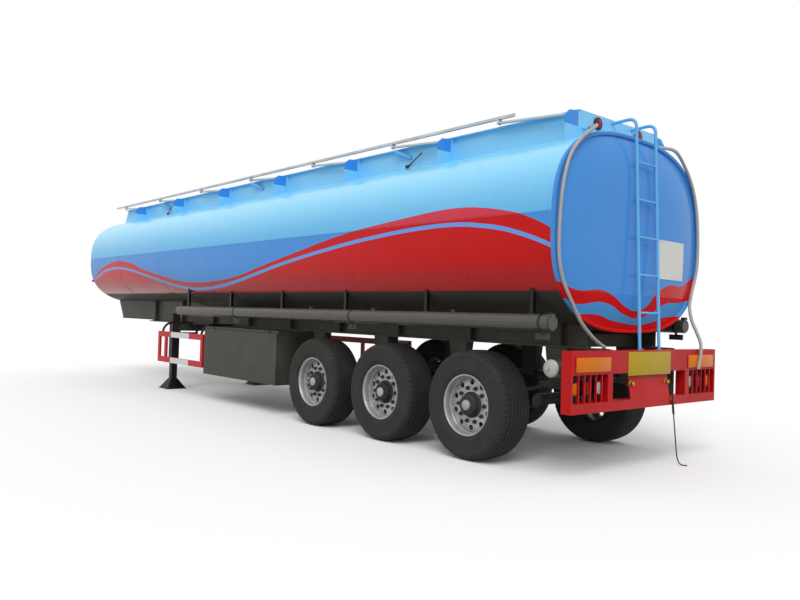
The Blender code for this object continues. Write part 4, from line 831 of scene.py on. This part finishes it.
def collar(x):
    """A collar with the cover's hinge ears and pin."""
    work = bmesh.new()
    spun(work, COLLAR_SHAPE, (x, 0, TOP_Z), UP, 64)
    hinge = x - HINGE_BACK
    for side in (-1, 1):
        block(work, (hinge - 0.018, side * 0.056, TOP_Z - 0.02),
              (hinge + 0.018, side * 0.068, HINGE_Z + 0.018))
    bar(work, (hinge, -0.074, HINGE_Z), (hinge, 0.074, HINGE_Z), 0.006, 12)
    return work


def cover(x):
    """A domed cover with its hatch, clamps, hinge arms and handle."""
    work = bmesh.new()
    spun(work, COVER_SHAPE, (x, 0, COLLAR_TOP), UP, 64)
    spun(work, HATCH_SHAPE, (x + HATCH_AHEAD, 0, COLLAR_TOP), UP, 48)
    for ahead, across in around(CLAMPS, CLAMP_RING, 0.5):
        spot = Vector((x + ahead, across, COLLAR_TOP))
        bar(work, spot + Vector((0, 0, 0.012)), spot + Vector((0, 0, 0.030)), 0.014, 6)
    hinge = x - HINGE_BACK
    for side in (-1, 1):
        arm = side * 0.030
        block(work, (hinge, arm - 0.012, HINGE_Z - 0.006), (x - 0.245, arm + 0.012, HINGE_Z + 0.006))
        bar(work, (hinge, side * 0.012, HINGE_Z), (hinge, side * 0.054, HINGE_Z), 0.012, 20)
    handle = x - HANDLE_BACK
    bar(work, (handle, -0.07, COLLAR_TOP + 0.066), (handle, 0.07, COLLAR_TOP + 0.066), 0.006, 12)
    for side in (-1, 1):
        foot = (handle, side * 0.065, COLLAR_TOP + 0.020)
        bar(work, foot, (*foot[:2], COLLAR_TOP + 0.070), 0.006, 12)
    return work


def make_manholes():
    """A collar and the cover that rides on its lid, at each manhole."""
    for number, station in enumerate(MANHOLES, 1):
        piece(f"manhole_collar_{number}", collar(at(station)), "sky")
        made = piece(f"manhole_cover_{number}", cover(at(station)), "sky", f"lid_{number}")
        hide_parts(f"manhole_lid_{number}")


RING_SEAMS = (1.30, 3.10, 4.90, 6.70, 8.55, 10.30)
LAP_BEAD = 0.0035
RING_BEAD = 0.0025


def make_seams():
    """Weld beads: a lap along each flank of the tank, and the rings where its sheets meet."""
    work = bmesh.new()
    half = (TOP_Z - BELLY_Z) / 2
    y = HALF_WIDTH * (1 - abs((SEAM_Z - BELLY_Z - half) / half) ** SECTION_POWER) ** (1 / SECTION_POWER)
    rear, front = at(REAR_RIM + RIM_BAND), at(LENGTH - FRONT_DISH)
    for _, side in SIDES:
        bar(work, (rear, side * y, SEAM_Z), (front, side * y, SEAM_Z), LAP_BEAD, 8)
    for station in RING_SEAMS:
        path = section(station, count=96)
        for index in range(len(path)):
            bar(work, path[index - 1], path[index], RING_BEAD, 6)
    piece("weld_seams", work, "livery", smooth=60)


WALL_X = at(DAM_REAR) - 0.0005
ROOF_RIM_SHAPE = ((0.0, 0.0), (0.0, 0.060), (0.016, 0.060), (0.020, 0.056), (0.020, 0.048), (0.012, 0.046),
                  (0.012, 0.0))
ROOF_LENS_SHAPE = ((0.010, 0.0), (0.010, 0.0455), (0.020, 0.044), (0.026, 0.030), (0.028, 0.0))
ROOF_LAMP_YS = (0.370, 0.340)
ROOF_LAMP_Z = 3.284


def make_roof_lamps():
    """Two round red lamps on the dam's rear wall, in black rims."""
    for (label, side), across in zip(SIDES, ROOF_LAMP_YS):
        face = (WALL_X, side * across, ROOF_LAMP_Z)
        rim = bmesh.new()
        spun(rim, ROOF_RIM_SHAPE, face, AFT, 40)
        piece(f"roof_lamp_rim_{label}", rim, "rubber")
        lens = bmesh.new()
        spun(lens, ROOF_LENS_SHAPE, face, AFT, 40)
        piece(f"roof_lamp_lens_{label}", lens, "red_lens")


LADDER_YS = (0.122, -0.222)
LADDER_FOOT = (at(0.062), BUMPER_TOP_Z + 0.0005)
LADDER_TOP = (at(0.150), 3.235)
LADDER_HOOP = ((0.004, 0.045), (0.022, 0.080), (0.056, 0.100), (0.095, 0.104), (0.150, 0.102), (0.210, 0.099))
LADDER_TUBE = 0.016
RUNG_RADIUS = 0.011
RUNG_ZS = tuple(1.479 + 0.360 * number for number in range(5))


def pipe(work, route, radius, sides=16):
    """A round pipe swept along a route that lies in a plane of constant y."""
    across = Vector((0, 1, 0))
    rings = []
    for index, place in enumerate(route):
        run = route[min(index + 1, len(route) - 1)] - route[max(index - 1, 0)]
        up = across.cross(run).normalized()
        angles = [math.tau * turn / sides for turn in range(sides)]
        rings.append([work.verts.new(place + radius * (math.cos(angle) * across + math.sin(angle) * up))
                      for angle in angles])
    for ring, after in zip(rings, rings[1:]):
        for turn in range(sides):
            work.faces.new((ring[turn], ring[turn - 1], after[turn - 1], after[turn]))
    for ring in (rings[0], rings[-1]):
        work.faces.new(ring)
    bmesh.ops.recalc_face_normals(work, faces=work.faces)


def make_ladder():
    """Two smooth pipes up the head, hooped forward to the dam's rear wall, and five rungs."""
    work = bmesh.new()
    (foot_x, foot_z), (top_x, top_z) = LADDER_FOOT, LADDER_TOP
    run = top_x - foot_x
    lean = run / (top_z - foot_z)
    line = [(foot_x, foot_z), (foot_x, foot_z + 0.03), (foot_x + 0.005, foot_z + 0.12),
            (foot_x + run * 0.5, (foot_z + top_z) / 2), (top_x - 0.005, top_z - 0.12), (top_x, top_z)]
    line += [(top_x + ahead, top_z + rise) for ahead, rise in LADDER_HOOP] + [(WALL_X, top_z + 0.098)]
    for y in LADDER_YS:
        pipe(work, smooth_route([(x, y, z) for x, z in line], 5), LADDER_TUBE)
    for z in RUNG_ZS:
        x = foot_x + lean * (z - foot_z)
        bar(work, (x, LADDER_YS[1], z), (x, LADDER_YS[0], z), RUNG_RADIUS, 16)
    made = piece("ladder_skin", work, "sky", smooth=50)
    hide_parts("ladder")


POST_PIVOTS = tuple(at(0.462) + 1.689 * number for number in range(7))
DAM_SIDE_Y = 0.624
STAY_RADIUS = 0.024
STRUT_RADIUS = 0.007


def make_post_stays():
    """Blue stays on the dam's wall by every second post's head, and black struts by posts 2 and 6."""
    for label, side in SIDES:
        work = bmesh.new()
        for pivot in POST_PIVOTS[1::2]:
            foot = (pivot + 0.66, side * DAM_SIDE_Y, 3.245)
            bar(work, foot, (pivot + 0.88, side * 0.690, 3.334), STAY_RADIUS, 20)
        piece(f"post_stays_{label}", work, "sky")
        work = bmesh.new()
        for pivot in (POST_PIVOTS[1], POST_PIVOTS[5]):
            foot = (pivot + 0.73, side * DAM_SIDE_Y, 3.153)
            bar(work, foot, (pivot + 0.42, side * 0.682, 3.262), STRUT_RADIUS, 10)
            block(work, (pivot + 0.70, side * 0.6295, 3.135), (pivot + 0.76, side * 0.634, 3.171))
        piece(f"post_strut_{label}", work, "rubber")


make_manholes()
make_seams()
make_roof_lamps()
make_ladder()
make_post_stays()


# Side fittings

TUBE_Y = 1.150
TUBE_Z = 1.360
TUBE_STRAP_XS = (-0.123, -2.883, -5.653)
TUBE_CLIP_XS = (-2.004, -3.246, -4.521)
TUBE_STRAP_SHAPE = ((-0.012, 0.0755), (-0.012, 0.0785), (0.012, 0.0785), (0.012, 0.0755), (-0.012, 0.0755))
TAG_STUD_SHAPE = ((0.0, 0.0), (0.0, 0.016), (0.007, 0.014), (0.007, 0.0))
TAG_BLOCKS = ((0.080, -0.150, -0.092), (0.012, -0.098, -0.072))


def make_tube_straps():
    """Black straps round each hose tube, with a grey tag under each, and small clips above."""
    for label, side in SIDES:
        straps = bmesh.new()
        tags = bmesh.new()
        y = side * TUBE_Y
        for x in TUBE_STRAP_XS:
            spun(straps, TUBE_STRAP_SHAPE, (x, y, TUBE_Z), (1, 0, 0), 40)
            for half, low, high in TAG_BLOCKS:
                block(tags, (x - half, y - 0.004, TUBE_Z + low), (x + half, y + 0.004, TUBE_Z + high))
            spun(tags, TAG_STUD_SHAPE, (x, side * (TUBE_Y + 0.0035), TUBE_Z - 0.121), (0, side, 0), 24)
        for x in TUBE_CLIP_XS:
            block(tags, (x - 0.022, side * (TUBE_Y + 0.005), TUBE_Z + 0.070),
                  (x + 0.022, side * (TUBE_Y - 0.030), TUBE_Z + 0.100))
        piece(f"tube_straps_{label}", straps, "rubber")
        piece(f"tube_tags_{label}", tags, "chassis")


SLEEVE_ZS = (0.500, 0.640)
SLEEVE_RADIUS = 0.011


def make_strap_sleeve():
    """A thick rubber sleeve round the top of the earthing strap, below the bumper's bar."""
    work = bmesh.new()
    strap = smooth_route(strap_route())
    pipe(work, [place for place in strap if SLEEVE_ZS[0] < place.z < SLEEVE_ZS[1]], SLEEVE_RADIUS, 12)
    piece("strap_sleeve", work, "rubber", smooth=50)


def make_side_lamps():
    """A small dark red lamp on each front corner of the tank."""
    for label, side in SIDES:
        work = bmesh.new()
        eased_block(work, (5.835, side * 1.140, 1.880), (5.905, side * 1.190, 1.924), 0.006)
        piece(f"side_lamp_{label}", work, "red_lens")


GUARD_BAND_ZS = ((0.491, 0.911), (0.491,))
GUARD_BAND_WIDTH = 0.088


def make_guard_bands():
    """White reflective bands on the side guards: both rails on the left, the lower rail on the right."""
    for (label, side), lows in zip(SIDES, GUARD_BAND_ZS):
        work = bmesh.new()
        for low in lows:
            block(work, (1.307, side * 1.1995, low), (1.977, side * 1.2015, low + GUARD_BAND_WIDTH))
        piece(f"guard_bands_{label}", work, "white")


GUARD_ARM_XS = (0.905, 2.330)
GUARD_ARM_BEND = 0.16
GUARD_ARM_RADIUS = 0.019


def make_guard_arms():
    """Black tubes that curve up from the left guard's top rail and inwards to the frame."""
    work = bmesh.new()
    for x in GUARD_ARM_XS:
        route = [(x, 1.183 - GUARD_ARM_BEND * (1 - math.cos(angle)), 0.985 + GUARD_ARM_BEND * math.sin(angle))
                 for angle in QUARTER]
        route.append((x, 0.640, 1.145))
        for start, end in zip(route, route[1:]):
            bar(work, start, end, GUARD_ARM_RADIUS, 20)
    piece("guard_arms_left", work, "black")


RESERVOIR_X = at(0.415)
RESERVOIR_Z = 0.949
RESERVOIR_RADIUS = 0.0825
RESERVOIR_RUN = 0.40
RESERVOIR_DOME = 0.030
RESERVOIR_PORT = 0.014


def make_reservoirs():
    """Air reservoirs with domed ends painted pale as the sky's reflection, ahead of the bumper."""
    shape = [(0.012, 0.0), (0.012, RESERVOIR_RADIUS)]
    shape += [(RESERVOIR_RUN + RESERVOIR_DOME * math.sin(angle), RESERVOIR_RADIUS * math.cos(angle))
              for angle in QUARTER]
    for label, side in SIDES:
        work = bmesh.new()
        spun(work, shape, (RESERVOIR_X, side * 0.600, RESERVOIR_Z), (0, side, 0), 40)
        near, far = [(RESERVOIR_X, side * y, RESERVOIR_Z) for y in (1.025, 1.050)]
        bar(work, near, far, RESERVOIR_PORT, 6)
        piece(f"air_reservoir_{label}", work, "reservoir")


make_tube_straps()
make_strap_sleeve()
make_side_lamps()
make_guard_bands()
make_guard_arms()
make_reservoirs()


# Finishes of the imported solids

NODE_PAINT = {"spill_dam": "dam", "ladder": "sky", "rear_bumper": "red", "rear_lamps": "black",
              "chassis_frame": "chassis", "coupler_plate": "chassis", "axle": "black",
              "suspension": "chassis", "landing_leg": "black", "cabinet": "chassis",
              "side_guard": "guard", "hose_tube": "tube", "manhole_lid": "sky", "rail_post": "rail",
              "handrail": "rail", "tyre": "tyre", "rim": "wheel"}
for name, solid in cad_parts.items():
    for start, paint in NODE_PAINT.items():
        if name.startswith(start):
            for slot in solid.material_slots:
                slot.material = PAINT[paint]


# Floor, light and camera

SKY_LEVEL = 0.70
KEY_ENERGY = 1.5
KEY_ANGLE = 0.6
KEY_AIM = (8, -9, -12)
FLOOR_HALF = 60
CAMERA_PLACE = (-9.831, 6.458, 1.390)
CAMERA_YAW = -40.9293
CAMERA_PITCH = 1.1493
CAMERA_ROLL = 1.7158
FOCAL_PIXELS = 748.45
PICTURE_WIDTH = 800
SENSOR_WIDTH = 36


def shown(tree):
    """A share that is 1 for what the camera, a gloss or clear plastic sees, and 0 for bounced light."""
    rays = add(tree, "ShaderNodeLightPath").outputs
    either = reckon(tree, "MAXIMUM", rays["Is Camera Ray"], rays["Is Glossy Ray"])
    return reckon(tree, "MAXIMUM", either, rays["Is Transmission Ray"])


def make_floor():
    """A plain pale floor that keeps the trailer's shadow."""
    # Matt paint on concrete: no gloss; what it bounces on the object is held to a mid grey.
    work = bmesh.new()
    bmesh.ops.create_grid(work, x_segments=1, y_segments=1, size=FLOOR_HALF)
    mesh = bpy.data.meshes.new("floor")
    work.to_mesh(mesh)
    work.free()
    floor = bpy.data.objects.new("floor", mesh)
    bpy.context.scene.collection.objects.link(floor)
    made, tree, _ = blank("matt_floor_paint")
    paint = mix(tree, shown(tree), tone("#a8a8a8"), tone("#ffffff"))
    surface(tree, Base_Color=paint, Roughness=0.95, Specular_IOR_Level=0.0)
    mesh.materials.append(made)


def make_light():
    """A plain white sky and one broad lamp from above the rear left."""
    world = bpy.data.worlds.new("studio")
    bpy.context.scene.world = world
    world.use_nodes = True
    tree = world.node_tree
    tree.nodes.clear()
    level = span(tree, shown(tree), 0.0, 1.0, SKY_LEVEL, 1.0)
    back = add(tree, "ShaderNodeBackground", {"Color": (1, 1, 1, 1), "Strength": level})
    add(tree, "ShaderNodeOutputWorld", {"Surface": back})
    lamp = bpy.data.lights.new("key", "SUN")
    lamp.energy = KEY_ENERGY
    lamp.angle = KEY_ANGLE
    holder = bpy.data.objects.new("key", lamp)
    holder.rotation_euler = Vector(KEY_AIM).to_track_quat("-Z", "Y").to_euler()
    bpy.context.scene.collection.objects.link(holder)


def make_camera():
    """The camera at the photograph's place: behind and to the left of the trailer."""
    yaw, pitch, roll = (math.radians(angle) for angle in (CAMERA_YAW, CAMERA_PITCH, CAMERA_ROLL))
    ahead = Vector((math.cos(pitch) * math.cos(yaw), math.cos(pitch) * math.sin(yaw), math.sin(pitch)))
    right = ahead.cross(Vector(UP)).normalized()
    up = right.cross(ahead)
    across = math.cos(roll) * right + math.sin(roll) * up
    above = math.cos(roll) * up - math.sin(roll) * right
    lens = bpy.data.cameras.new("camera")
    lens.sensor_width = SENSOR_WIDTH
    lens.lens = FOCAL_PIXELS * SENSOR_WIDTH / PICTURE_WIDTH
    lens.clip_end = 400
    holder = bpy.data.objects.new("camera", lens)
    turn = Matrix((across, above, -ahead)).transposed()
    holder.matrix_world = Matrix.Translation(CAMERA_PLACE) @ turn.to_4x4()
    bpy.context.scene.collection.objects.link(holder)
    bpy.context.scene.camera = holder


make_floor()
make_light()
make_camera()
bpy.context.scene.view_settings.view_transform = "Standard"
